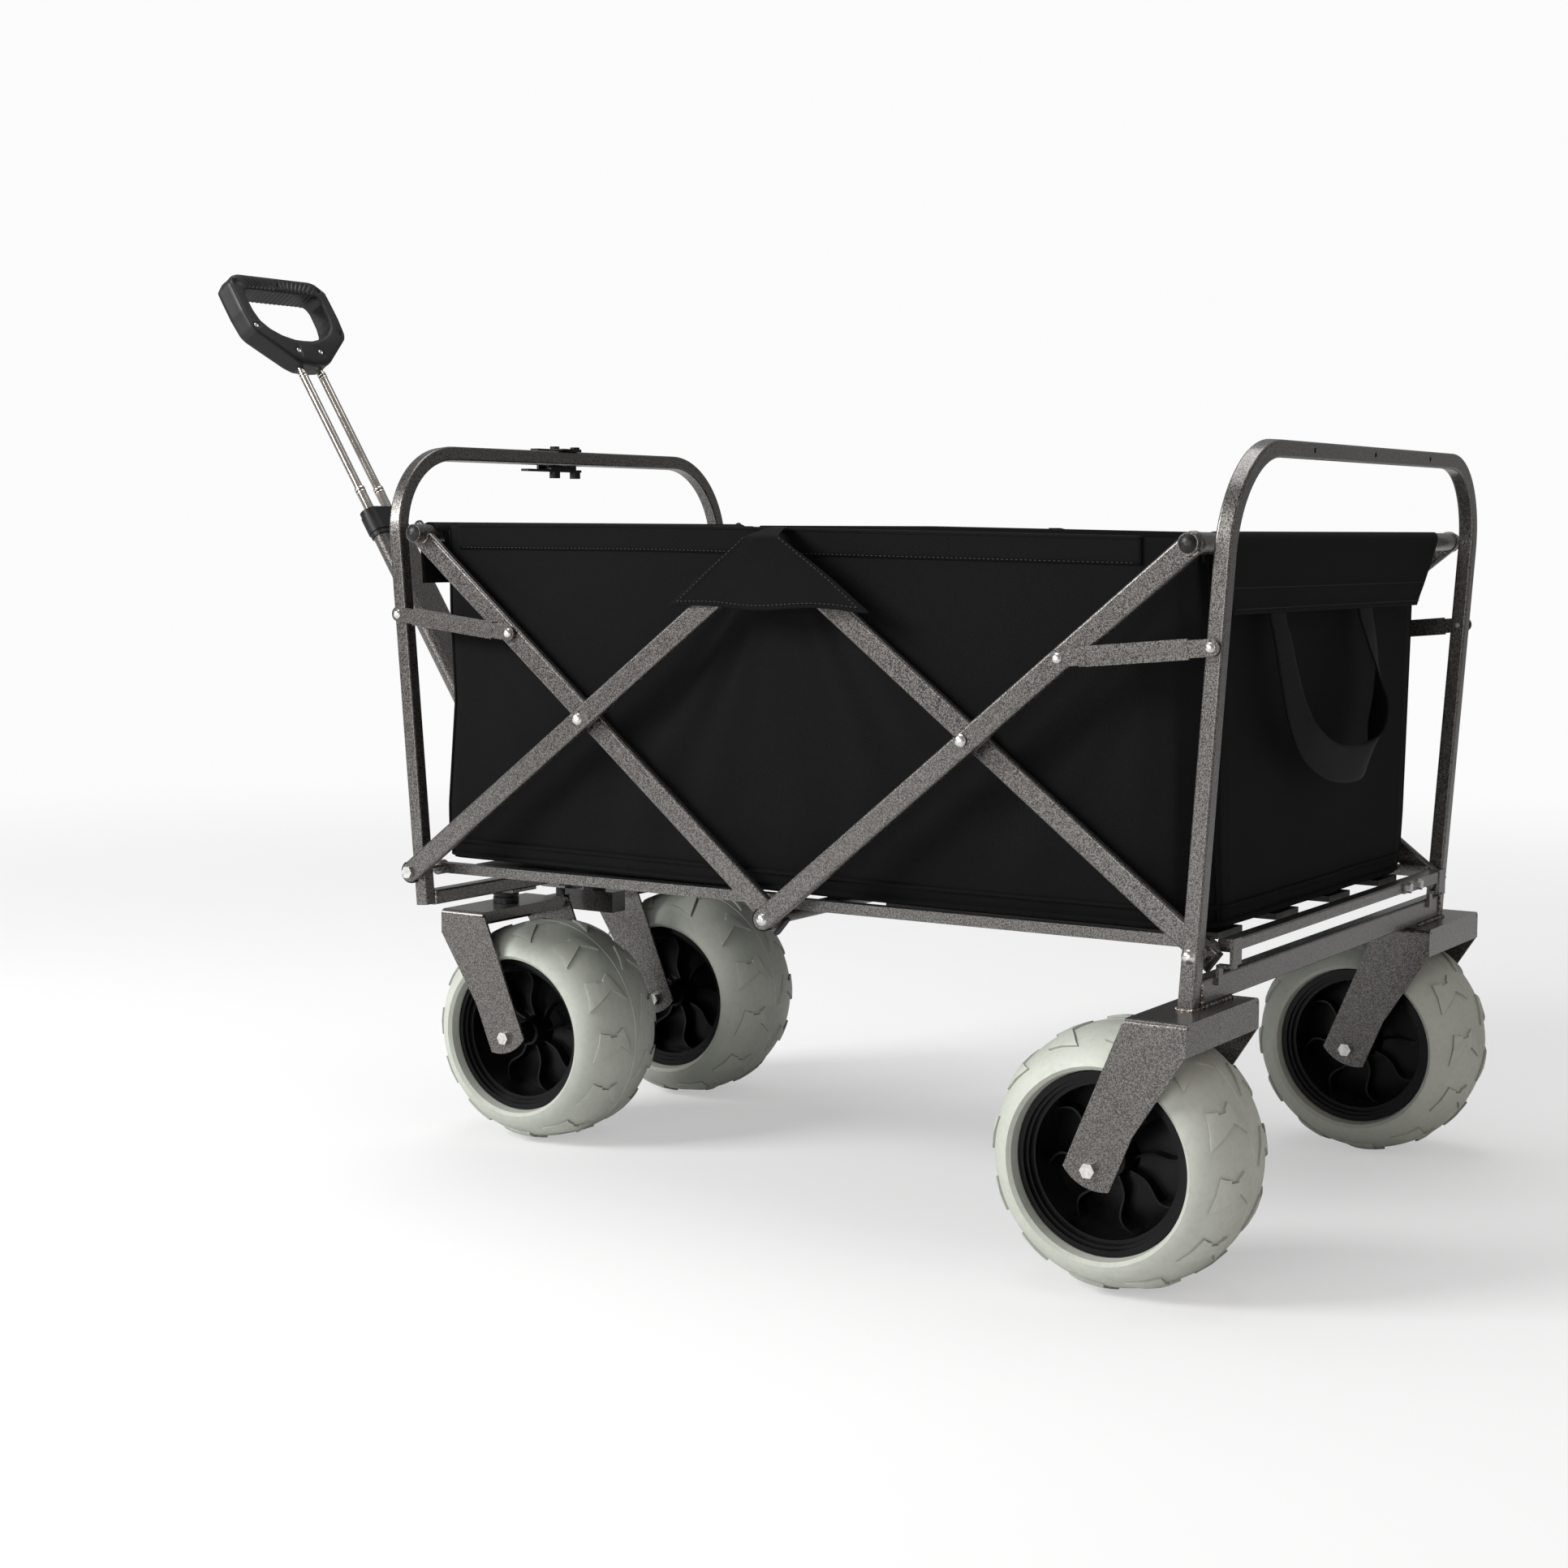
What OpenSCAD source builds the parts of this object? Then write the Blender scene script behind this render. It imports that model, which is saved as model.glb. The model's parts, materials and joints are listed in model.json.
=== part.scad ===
// Folding beach cart: two upright tube frames joined by scissor bars on each side, a fabric
// bag hung from two cross tubes, balloon wheels on forks and a telescopic pull handle.
// Millimetres, +Z up, -X is the handle end, origin under the middle of the overall length.

/* [Frame] */
// Distance between the front and rear bottom pivots
wheelbase_w = 931.8; // [600:0.1:1200]
// Side of the square frame tube
tube_s = 16; // [12:0.5:25]
// Wall of the square frame tube
tube_wall = 1.6; // [1:0.1:3]
// Half distance between the front post centres
front_post_y = 312; // [200:1:400]
// Half distance between the rear post centres
rear_post_y = 340; // [200:1:420]
// Height of the front frame's top edge
front_top_z = 794; // [600:1:1000]
// Height of the rear frame's top edge
rear_top_z = 787; // [600:1:1000]
// Centreline radius of the frame bends
bend_r = 95; // [40:1:150]

/* [Scissor bars] */
// Width of a scissor bar
bar_w = 23; // [15:0.5:35]
// Thickness of a scissor bar
bar_t = 10; // [6:0.5:16]
// Radius of the bars' long edges
bar_e = 3; // [1:0.5:5]
// Radius of the scissor pivot bolts
pivot_r = 4; // [3:0.5:6]
// Radius of the two tubes that hold the bag
bag_tube_r = 10; // [6:0.5:15]

/* [Wheels] */
// Outer radius of the tyres
wheel_r = 127; // [90:1:180]
// Half width of the tyres
wheel_hw = 73; // [40:1:90]
// Radius of the rim opening in the tyre
rim_r = 86; // [50:1:110]
// Radius of the axle bolts
axle_r = 4; // [3:0.5:8]
// Thickness of the fork plates
fork_t = 3; // [2:0.5:5]

/* [Handle] */
// Lean of the handle from horizontal in degrees
handle_deg = 57.34; // [20:0.1:85]
// Width of the flat lower handle tube
lower_w = 62; // [40:1:80]
// Radius of the telescopic rods
rod_r = 6.2; // [4:0.1:9]
// Half distance between the two rods
rod_y = 17.5; // [10:0.5:30]

/* [Bag] */
// Wall thickness of the fabric solid
bag_t = 4; // [2:0.5:8]
// Half width of the bag
bag_y = 302; // [150:1:400]

/* [Hidden] */
xc = 228;
bev = 0.05;
// scissor pivots: bottom front, crossing front, top middle, bottom middle, crossing rear, bottom rear
P0 = [-0.4, 325.5];
X1 = [231.6, 504.5];
T = [463, 679.3];
BM = [463, 312];
X2 = [694.4, 504.5];
DB = [P0[0] + wheelbase_w, 319.4];
FT = [8, 697];
RT = [930.5, 692];
RAX = [866, wheel_r];
FAX = [44.5, wheel_r];
KING = [-17.5, 146.3];
// layers outward from the middle
yA = 310; yB = 327; yL = 321.5;
HP = [-50.3, 280];
hd = [-cos(handle_deg), sin(handle_deg)];
paint = [0.27, 0.24, 0.24];
steel = [0.75, 0.75, 0.77];
plastic = [0.07, 0.07, 0.075];
cloth = [0.05, 0.05, 0.055];
rubber = [0.76, 0.78, 0.74];

// ---------- helpers ----------
// moves the cart so that the origin is under the middle of its length
module place() { translate([-xc, 0, 0]) children(); }
module rsq(w, h, r) {
    square([w, h - 2 * r], center = true);
    square([w - 2 * r, h], center = true);
    for (a = [-1, 1], b = [-1, 1]) translate([a * (w / 2 - r), b * (h / 2 - r)]) circle(r = r, $fn = 32);
}
// cylinder along Y from y0 to y1
module cy(x, z, r, y0, y1, fn = 48) {
    translate([x, min(y0, y1), z]) rotate([-90, 0, 0]) cylinder(r = r, h = abs(y1 - y0), $fn = fn);
}
// cylinder along Z
module cz(x, y, r, z0, z1, fn = 48) { translate([x, y, z0]) cylinder(r = r, h = z1 - z0, $fn = fn); }
module bx(x0, x1, y0, y1, z0, z1) { translate([x0, y0, z0]) cube([x1 - x0, y1 - y0, z1 - z0]); }
// box placed on side s (-1 is -Y), y given as distances from the middle
module sbx(s, x0, x1, y0, y1, z0, z1) { bx(x0, x1, s > 0 ? y0 : -y1, s > 0 ? y1 : -y0, z0, z1); }
// inverted U of square tube in the YZ plane, x = 0
module arch(py, zb, zt, s, r) {
    zc = zt - tube_s / 2;
    for (k = [-1, 1]) {
        translate([0, k * py, zb]) linear_extrude(zc - r - zb) rsq(s, s, 2.5);
        translate([0, k * (py - r), zc - r]) rotate([0, 0, k > 0 ? 90 : -90]) rotate([90, 0, 0]) rotate_extrude(angle = 90, $fn = 96) translate([r, 0]) rsq(s, s, 2.5);
    }
    translate([0, -(py - r), zc]) rotate([-90, 0, 0]) linear_extrude(2 * (py - r)) rsq(s, s, 2.5);
}
module leaned(m, x0, z0) translate([x0, 0, z0]) rotate([0, atan(m), 0]) translate([0, 0, -z0]) children();
// height along the lean that puts the middle of the top bar at zt - tube_s / 2
function lean_top(m, z0, zt) = z0 + (zt - tube_s / 2 - z0) * sqrt(1 + m * m) + tube_s / 2;
// straight bar from point a to point b (x,z) with square ends, at y0..y0+bar_t on side s
module bar_sq(a, b, e0, e1, s, y0) {
    L = norm(b - a); ang = atan2(b[1] - a[1], b[0] - a[0]);
    translate([a[0], s * (y0 + bar_t / 2), a[1]]) rotate([0, -ang, 0]) translate([-e0, 0, 0]) rotate([90, 0, 90]) linear_extrude(L + e0 + e1) rsq(bar_t, bar_w, bar_e);
}
// bar with rounded ends; its outer end stands dy further out
module bar_rd(a, b, s, y0, dy = 0) {
    L = norm(b - a); ang = atan2(b[1] - a[1], b[0] - a[0]);
    tl = atan2(dy, L);
    translate([a[0], s * (y0 + bar_t / 2), a[1]]) rotate([0, -ang, 0]) rotate([0, 0, s * tl]) {
        rotate([90, 0, 90]) linear_extrude(L / cos(tl)) rsq(bar_t, bar_w, bar_e);
        for (x = [0, L / cos(tl)]) translate([x, 0, 0]) rotate([90, 0, 0]) rotate_extrude($fn = 64) intersection() {
            rsq(bar_w, bar_t, bar_e);
            translate([0, -bar_t]) square([bar_w, 2 * bar_t]);
        }
    }
}
// hex head along Y
module hexy(x, z, r, y0, y1) { cy(x, z, r, y0, y1, 6); }
// domed rivet head along Y, standing out to y1
module rivet(s, x, z, r, ya, yb) {
    translate([x, s * ya, z]) rotate([s > 0 ? -90 : 90, 0, 0]) rotate_extrude($fn = 48) intersection() {
        translate([0, (yb - ya) - 1.15 * r]) circle(r = 1.15 * r, $fn = 48);
        square([r, yb - ya]);
    }
}

// ---------- front frame ----------
module front_frame_tube() place() color(paint) difference() {
    leaned(-0.083, 0, 318) arch(front_post_y, 287, lean_top(-0.083, 318, front_top_z), tube_s, bend_r);
    for (s = [-1, 1]) {
        cy(P0[0], P0[1], pivot_r + bev, s * 300, s * 325);
        cy(-24, 608.5, 2.5 + bev, s * 300, s * 325);
    }
}
module front_cross_bar() place() color(paint) difference() {
    union() {
        translate([2, -303.9, 294.2]) rotate([-90, 0, 0]) linear_extrude(607.8) rsq(16, 16.4, 2.5);
        for (s = [-1, 1]) {
            sbx(s, -36, 10, KING[1] - 22, KING[1] + 22, 283, 286.4);
        }
    }
    for (s = [-1, 1]) cz(KING[0], s * KING[1], 5 + bev, 280, 290);
}
module handle_clip() place() color(plastic) {
    // upper jaw, web and lower jaw of a clip that hugs the top bar from the front, with a lever at its left end
    difference() {
        union() {
            bx(-60, -28, -20, 16, 773, 797.6);
            bx(-60, -49, -42, 44, 795.2, 797.6);
            bx(-60, -49, -60, 44, 770.6, 773.4);
            bx(-60, -57, -30, 44, 772, 797);
        }
        bx(-50, -20, -70, 50, 775.4, 795.2);
        bx(-46, -20, -70, 50, 760, 796);
    }
    for (y = [-2.5, 37.5]) {
        cz(-54, y, 5.6, 797.6, 801, 40);
        cz(-54, y, 6.4, 763, 770.6, 40);
    }
}
module handle_bracket() place() color(paint) difference() {
    union() {
        // box arm under the cross bar, its riser and the thin plate in front
        bx(-33, 38, -13, 13, 243, 267.8);
        bx(-5, 9, -13, 13, 267.8, 286);
        bx(-66, -33, -19, 19, 252, 256);
        bx(-33, -31, -19, 19, 246, 260);
    }
    cz(-44, 0, 4 + bev, 240, 275);
    bx(-30.5, 35.5, -10.6, 10.6, 245.4, 265.4);
}
module bearing_bushes() place() color(plastic) {
    for (s = [-1, 1]) difference() {
        union() {
            cz(KING[0], s * KING[1], 15, 267.9, 274.6);
            cz(KING[0], s * KING[1], 15, 276.4, 282.95);
            cz(KING[0], s * KING[1], 11, 274.6, 276.4);
        }
        cz(KING[0], s * KING[1], 5 + bev, 260, 290);
    }
    difference() { cz(-44, 0, 10.5, 256, 267.9); cz(-44, 0, 4 + bev, 250, 275); }
}

// ---------- links ----------
module link(a, b, s, y0) {
    L = norm(b - a); ang = atan2(b[1] - a[1], b[0] - a[0]);
    translate([a[0], s * (y0 + 1.5), a[1]]) rotate([0, -ang, 0]) rotate([90, 0, 0]) {
        translate([0, 0, -1.5]) linear_extrude(3) {
            translate([0, -8]) square([L, 16]);
            translate([22, -9.5]) square([L - 44, 19]);
            circle(r = 8, $fn = 40);
            translate([L, 0]) circle(r = 8, $fn = 40);
        }
        // pressed bead on the outer face
        translate([0, 0, s > 0 ? -2.4 : 0.4]) linear_extrude(2) {
            translate([24, -3]) square([L - 48, 6]);
            translate([24, 0]) circle(r = 3, $fn = 24);
            translate([L - 24, 0]) circle(r = 3, $fn = 24);
        }
    }
}
FLA = [-24, 608.5]; FLB = [130, 591.4];
RLA = [950.5, 600]; RLB = [799, 586];
module front_links() place() color(paint) for (s = [-1, 1]) difference() {
    link(FLA, FLB, s, yL);
    for (p = [FLA, FLB]) cy(p[0], p[1], 2.5, s * 318, s * 330);
}
module front_link_rivets() place() color(steel) for (s = [-1, 1]) {
    for (p = [FLA, FLB]) rivet(s, p[0], p[1], 5, yL + 3, yL + 6.8);
    cy(FLA[0], FLA[1], 2.5, s * 303.5, s * (yL + 3));
    cy(FLB[0], FLB[1], 2.5, s * (yA + bar_t + 0.9), s * (yL + 3));
    cy(FLA[0], FLA[1], 5, s * 320.1, s * yL);
}
module rear_links() place() color(paint) for (s = [-1, 1]) difference() {
    link(RLA, RLB, s, 353.4);
    for (p = [RLA, RLB]) cy(p[0], p[1], 2.5, s * 350, s * 360);
}
module rear_link_rivets() place() color(steel) for (s = [-1, 1]) {
    for (p = [RLA, RLB]) rivet(s, p[0], p[1], 5, 356.4, 360.2);
    cy(RLA[0], RLA[1], 2.5, s * 331, s * 356.4);
    cy(RLB[0], RLB[1], 2.5, s * 352.4, s * 356.4);
    cy(RLA[0], RLA[1], 5, s * 348.6, s * 353.4);
}

// ---------- scissor bars ----------
module bar_b(s) color(paint) difference() {
    bar_rd(P0, T, s, yB);
    for (p = [P0, X1, T]) cy(p[0], p[1], pivot_r, s * 320, s * 345);
}
module bar_b_left() place() bar_b(-1);
module bar_b_right() place() bar_b(1);
// thin black cover over a bar's rounded end
module end_cap(a, b, s, y0, r = 12.6) {
    ang = atan2(b[1] - a[1], b[0] - a[0]);
    translate([a[0], s * (y0 + bar_t / 2), a[1]]) rotate([0, -ang, 0]) rotate([90, 0, 0]) difference() {
        rotate_extrude($fn = 64) difference() {
            intersection() { rsq(bar_w + 2.4, bar_t - 1, bar_e); translate([0, -bar_t]) square([bar_w, 2 * bar_t]); }
            translate([-1, -bar_t]) square([bar_w / 2 + 1.15, 2 * bar_t]);
        }
        translate([0, -40, -40]) cube([80, 80, 80]);
    }
}
module bar_b_caps() place() color(plastic) for (s = [-1, 1]) {
    end_cap(P0, T, s, yB);
    end_cap(T, P0, s, yB);
}
module bar_b_bolts() place() color(steel) for (s = [-1, 1]) {
    // bottom bolt with spacer, crossing rivet, top rivet
    cy(P0[0], P0[1], pivot_r, s * 275.5, s * (yB + bar_t));
    hexy(P0[0], P0[1], 7, s * (yB + bar_t), s * (yB + bar_t + 4.5));
    difference() { cy(P0[0], P0[1], 7.5, s * 320.2, s * yB); cy(P0[0], P0[1], pivot_r, s * 320, s * (yB + 1)); }
    for (p = [X1, T]) {
        cy(p[0], p[1], pivot_r, s * (yA - 0.3), s * (yB + bar_t));
        rivet(s, p[0], p[1], 6.5, yB + bar_t, yB + bar_t + 3.6);
        rivet(-s, p[0], p[1], 6, -(yA - 0.4), -(yA - 3.4));
        difference() { cy(p[0], p[1], 7.5, s * (yA + bar_t + 0.3), s * yB); cy(p[0], p[1], pivot_r, s * 318, s * (yB + 1)); }
    }
}
uA = (X1 - BM) / norm(X1 - BM);
FTB = X1 + 294.5 * uA;
module bar_a(s) color(paint) difference() {
    bar_sq(BM, FTB, 12, 12, s, yA);
    cy(X1[0], X1[1], pivot_r + bev, s * 300, s * 330);
    cy(BM[0], BM[1], pivot_r + 3, s * 300, s * 330);
    cy(FT[0], FT[1], bag_tube_r, s * 300, s * 330);
}
module bar_a_left() place() bar_a(-1);
module bar_a_right() place() bar_a(1);
module front_top_tube() place() color(paint) difference() {
    cy(FT[0], FT[1], bag_tube_r, -334.5, 334.5);
    cy(FT[0], FT[1], bag_tube_r - tube_wall, -340, 340);
}
module plug(a, b, s, y0) {
    // square plug standing 3 mm out of a bar's end
    ang = atan2(b[1] - a[1], b[0] - a[0]);
    translate([a[0], s * (y0 + bar_t / 2), a[1]]) rotate([0, -ang, 0]) translate([-15, 0, 0]) rotate([90, 0, 90]) linear_extrude(3) rsq(bar_t, bar_w, bar_e);
}
module front_caps() place() color(plastic) for (s = [-1, 1]) {
    rivet(s, FT[0], FT[1], 10.8, 334.5, 338.2);
    plug(BM, FTB, s, yA);
    plug(FTB, BM, s, yA);
}
module bar_d(s) color(paint) difference() {
    bar_sq(T, DB, 12, 12, s, yA);
    cy(T[0], T[1], pivot_r + bev, s * 300, s * 330);
    cy(X2[0], X2[1], pivot_r, s * 300, s * 330);
    cy(DB[0], DB[1], pivot_r + bev, s * 300, s * 330);
}
module bar_d_left() place() bar_d(-1);
module bar_d_right() place() bar_d(1);
module bar_d_plugs() place() color(plastic) for (s = [-1, 1]) {
    plug(T, DB, s, yA);
    plug(DB, T, s, yA);
}
yC0 = yB; yC1 = 347.6;
// inner face of the outer rear bar at distance x
function cface(x) = yC0 + (yC1 - yC0) * (x - BM[0]) / (RT[0] - BM[0]);
module bar_c(s) color(paint) difference() {
    bar_rd(BM, RT, s, yC0, yC1 - yC0);
    cy(BM[0], BM[1], pivot_r, s * 320, s * 345);
    cy(X2[0], X2[1], pivot_r + bev, s * 325, s * 370);
    cy(RT[0], RT[1], bag_tube_r, s * 330, s * 370);
}
module bar_c_left() place() bar_c(-1);
module bar_c_right() place() bar_c(1);
module bar_d_bolts() place() color(steel) for (s = [-1, 1]) {
    cy(X2[0], X2[1], pivot_r, s * (yA - 0.2), s * 350.4);
    rivet(s, X2[0], X2[1], 6.5, 349.2, 352.8);
    rivet(-s, X2[0], X2[1], 6, -(yA), -(yA - 3));
    difference() { cy(X2[0], X2[1], 7.5, s * (yA + bar_t), s * 336.2); cy(X2[0], X2[1], pivot_r, s * 318, s * 340); }
}
module bottom_cross_tube() place() color(paint) difference() {
    cy(BM[0], BM[1], 8, -309.4, 309.4);
    for (s = [-1, 1]) cy(BM[0], BM[1], pivot_r, s * 290, s * 312);
}
module bottom_bolts() place() color(steel) for (s = [-1, 1]) {
    cy(BM[0], BM[1], pivot_r, s * 290, s * (yB + bar_t + 0.3));
    rivet(s, BM[0], BM[1], 6.5, yB + bar_t + 0.3, yB + bar_t + 3.9);
    difference() { cy(BM[0], BM[1], 9, s * (yA + bar_t + 0.4), s * (yB - 0.2)); cy(BM[0], BM[1], pivot_r, s * 318, s * (yB + 1)); }
}
module rear_top_tube() place() color(paint) difference() {
    cy(RT[0], RT[1], bag_tube_r, -364.5, 364.5);
    cy(RT[0], RT[1], bag_tube_r - tube_wall, -370, 370);
}
module rear_caps() place() color(plastic) for (s = [-1, 1]) {
    rivet(s, RT[0], RT[1], 10.8, 364.5, 368.2);
    end_cap(BM, RT, s, yC0);
}

// ---------- rear frame ----------
module rear_frame_tube() place() color(paint) difference() {
    leaned(0.065, DB[0] + 0.8, 318) arch(rear_post_y, 268, lean_top(0.065, 318, rear_top_z), tube_s + 0.5, bend_r + 2);
    translate([880, -400, 200]) cube([100, 800, 69.5]);
    for (s = [-1, 1]) {
        cy(DB[0], DB[1], pivot_r, s * 330, s * 352);
        cy(RLA[0], RLA[1], 2.5 + bev, s * 330, s * 352);
    }
    for (y = [-165, 0, 165]) translate([964, y, 779]) rotate([0, 90, 0]) cylinder(r = 2.6, h = 14, $fn = 32);
}
module rear_cross_bar() place() color(paint)
    translate([930, -331.4, 283.9]) rotate([-90, 0, 0]) linear_extrude(662.8) rsq(16, 24.6, 2.5);
// fork with a leaning pair of plate legs under a folded saddle. (ax, az) is the axle, x0..x1 the saddle
module fork(ax, x0, x1, ya, yb, zt, zf, lean) {
    yc = (ya + yb) / 2; hw = (yb - ya) / 2;
    r = 5.5;
    // saddle: bent over its two sides
    translate([x0, yc, 0]) rotate([90, 0, 90]) linear_extrude(x1 - x0) difference() {
        union() {
            translate([-hw, zf]) square([2 * hw, zt - r - zf]);
            translate([-hw + r, zf]) square([2 * hw - 2 * r, zt - zf]);
            for (k = [-1, 1]) translate([k * (hw - r), zt - r]) circle(r = r, $fn = 48);
        }
        translate([-hw + fork_t, zf - 1]) square([2 * hw - 2 * fork_t, zt - r - zf + 1]);
        translate([-hw + r, zf - 1]) square([2 * hw - 2 * r, zt - fork_t - zf + 1]);
        for (k = [-1, 1]) translate([k * (hw - r), zt - r]) circle(r = r - fork_t, $fn = 48);
    }
    // front and rear flanges
    for (k = [0, 1]) {
        x = k > 0 ? x1 - fork_t : x0;
        // the flange over the axle is shorter, to clear the tyre
        za = (k > 0) == (lean < 0) ? 256 : zf;
        bx(x, x + fork_t, ya + 1, yb - 1, za, zt - r);
        bx(x, x + fork_t, ya + r, yb - r, za, zt - 0.5);
    }
    // legs
    for (y = [ya, yb - fork_t]) translate([0, y + fork_t, 0]) rotate([90, 0, 0]) linear_extrude(fork_t) intersection() {
        union() {
            translate([ax, wheel_r]) rotate(-lean) {
                translate([-25, -6]) square([50, 206]);
                // shallow arc across the foot
                intersection() {
                    translate([-25, -30]) square([50, 40]);
                    translate([0, 28]) circle(r = 45, $fn = 96);
                }
            }
            translate([x0, zf]) square([x1 - x0, zt - r - zf]);
            // the leg widens to the flange's lower corner
            polygon([[lean > 0 ? x1 : x0, zf + 1], [lean > 0 ? x0 : x1, zf + 1], [ax + (lean > 0 ? 1 : -1) * (23 + 12), wheel_r + 12], [ax + (lean > 0 ? 1 : -1) * 23, wheel_r - 6 + 12]]);
        }
        translate([ax - 150, 50]) square([300, zt - r - 50]);
    }
}
module rear_fork(s) color(paint) difference() {
    fork(RAX[0], 898, 958, s > 0 ? 243 : -411, s > 0 ? 411 : -243, 269.45, 239.5, 22.5);
    cy(RAX[0], RAX[1], axle_r, s * 230, s * 420);
}
module rear_fork_left() place() rear_fork(-1);
module rear_fork_right() place() rear_fork(1);
module rear_fasteners() place() color(steel) for (s = [-1, 1]) {
    // axle bolt with head outside and nut inside
    cy(RAX[0], RAX[1], axle_r, s * 236, s * 411);
    hexy(RAX[0], RAX[1], 7.5, s * 411, s * 416.5);
    hexy(RAX[0], RAX[1], 7.5, s * 236.5, s * 243);
    // bottom pivot bolt, its spacer and nut
    cy(DB[0], DB[1], pivot_r, s * 292.8, s * 349.5);
    rivet(s, DB[0], DB[1], 7, 348.35, 352.5);
    difference() { cy(DB[0], DB[1], 7.5, s * (yA + bar_t + 0.3), s * 331.5); cy(DB[0], DB[1], pivot_r, s * 318, s * 333); }
    // bracket screws in the rear face
    if (s > 0) for (y = [178, 212]) {
        translate([954, y, 323.5]) rotate([0, 90, 0]) cylinder(r = 5.8, h = 4.4, $fn = 6);
        translate([941.2, y, 323.5]) rotate([0, 90, 0]) cylinder(r = 3, h = 13, $fn = 32);
    }
}
module base_rear_bar() place() color(paint) difference() {
    union() {
        translate([944.2, -292.5, 323.5]) rotate([-90, 0, 0]) linear_extrude(585) rsq(15.5, 12, 2);
        for (s = [-1, 1]) {
            // upright plate behind the bar by the post, and the tab down to the lower cross bar
            sbx(s, 951.5, 955, 280, 300, 306, 331);
            sbx(s, 938, 952, 290, 300, 303, 306);
            sbx(s, 938, 941, 290, 300, 287, 306);
            sbx(s, 951.5, 955, 290, 300, 303, 307);
        }
        bx(951.5, 954, 168, 282, 317.6, 329.4);
    }
    for (y = [178, 212]) translate([940, y, 323.5]) rotate([0, 90, 0]) cylinder(r = 3, h = 20, $fn = 32);
}

// ---------- wheels ----------
// round balloon profile, from the rim seat outward
module tyre(ax, yc) color(rubber) translate([ax, yc, wheel_r]) rotate([90, 0, 0]) rotate_extrude($fn = 128) {
    difference() {
        union() {
            intersection() {
                translate([wheel_r - 50, 0]) scale([50 / 73, 1]) circle(r = wheel_hw, $fn = 96);
                translate([rim_r, -wheel_hw]) square([wheel_r - rim_r, 2 * wheel_hw]);
            }
            intersection() {
                translate([rim_r, -62]) square([14, 124]);
                translate([wheel_r - 50, 0]) circle(r = wheel_hw, $fn = 96);
            }
        }
    }
}
// hub: stepped rim rings, centre boss, thin web and curved ribs
function sp(r0, r1, t, a, w) = let(r = r0 + (r1 - r0) * t, g = a + 8 * sin(330 * t + 20) + 16 * t) [r * cos(g) - w * sin(g), r * sin(g) + w * cos(g)];
module rib(a, r0, r1, w) {
    n = 14;
    polygon(concat([for (i = [0:n]) sp(r0, r1, i / n, a, w / 2)], [for (i = [n:-1:0]) sp(r0, r1, i / n, a, -w / 2)]));
}
module hub(ax, yc, bw) color(plastic) translate([ax, yc, wheel_r]) rotate([90, 0, 0]) difference() {
    union() {
        rotate_extrude($fn = 96) {
            translate([80.5, -58]) square([rim_r - 80.5, 116]);
            translate([77, -54]) square([6, 108]);
            translate([72.5, -49]) square([7, 98]);
            // dished web, thicker towards the boss
            polygon([[12, -17], [30, -13], [73, -7], [73, 7], [30, 13], [12, 17]]);
            translate([axle_r + bev, -bw]) square([8, 2 * bw]);
            polygon([[5, -44], [15, -40], [19, -16], [19, 16], [15, 40], [5, 44]]);
        }
        for (k = [0:7]) translate([0, 0, -25]) linear_extrude(50) rib(k * 45, 16, 73.5, 2.2);
    }
    translate([0, 0, -100]) cylinder(r = axle_r + bev, h = 200, $fn = 48);
}
module tyre_rear_left() place() tyre(RAX[0], -326.6);
module tyre_rear_right() place() tyre(RAX[0], 326.6);
module hub_rear_left() place() hub(RAX[0], -326.6, 79);
module hub_rear_right() place() hub(RAX[0], 326.6, 79);
module tyre_front_left() place() tyre(FAX[0], -KING[1]);
module tyre_front_right() place() tyre(FAX[0], KING[1]);
module hub_front_left() place() hub(FAX[0], -KING[1], 76.4);
module hub_front_right() place() hub(FAX[0], KING[1], 76.4);
module caster_fork(s) color(paint) difference() {
    fork(FAX[0], -47.5, 12.5, s > 0 ? 66 : -227, s > 0 ? 227 : -66, 267.5, 239.5, -22.5);
    cy(FAX[0], FAX[1], axle_r, s * 50, s * 240);
    cz(KING[0], s * KING[1], 5, 250, 280);
}
module caster_fork_left() place() caster_fork(-1);
module caster_fork_right() place() caster_fork(1);
module caster_axle(s) color(steel) {
    cy(FAX[0], FAX[1], axle_r, s * 59.5, s * 227);
    hexy(FAX[0], FAX[1], 7.5, s * 227, s * 232.5);
    hexy(FAX[0], FAX[1], 7.5, s * 59.5, s * 66);
    cz(KING[0], s * KING[1], 5, 256, 285.9);
    cz(KING[0], s * KING[1], 8.5, 258, 264.5, 6);
}
module caster_axle_left() place() caster_axle(-1);
module caster_axle_right() place() caster_axle(1);

// ---------- folding base ----------
module base_rails_front() place() color(paint) difference() {
    union() for (s = [-1, 1]) {
        sbx(s, -8, 462, 277, 289, 320.3, 331.4);
        cy(P0[0], P0[1], 8, s * 277, s * 289);
    }
    cy(P0[0], P0[1], pivot_r + bev, -300, 300);
}
module base_slats_front() place() color(plastic) for (y = [-218, -73, 73, 218]) bx(22, 372, y - 30, y + 30, 321, 327);
module base_rails_rear() place() color(paint) difference() {
    union() for (s = [-1, 1]) {
        sbx(s, 466, 934, 294, 306, 320.3, 331.4);
        cy(DB[0], DB[1], 9, s * 294, s * 306);
    }
    cy(DB[0], DB[1], pivot_r + bev, -310, 310);
}
module base_slats_rear() place() color(plastic) for (y = [-218, -73, 73, 218]) bx(556, 917, y - 30, y + 30, 321, 327);

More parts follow.
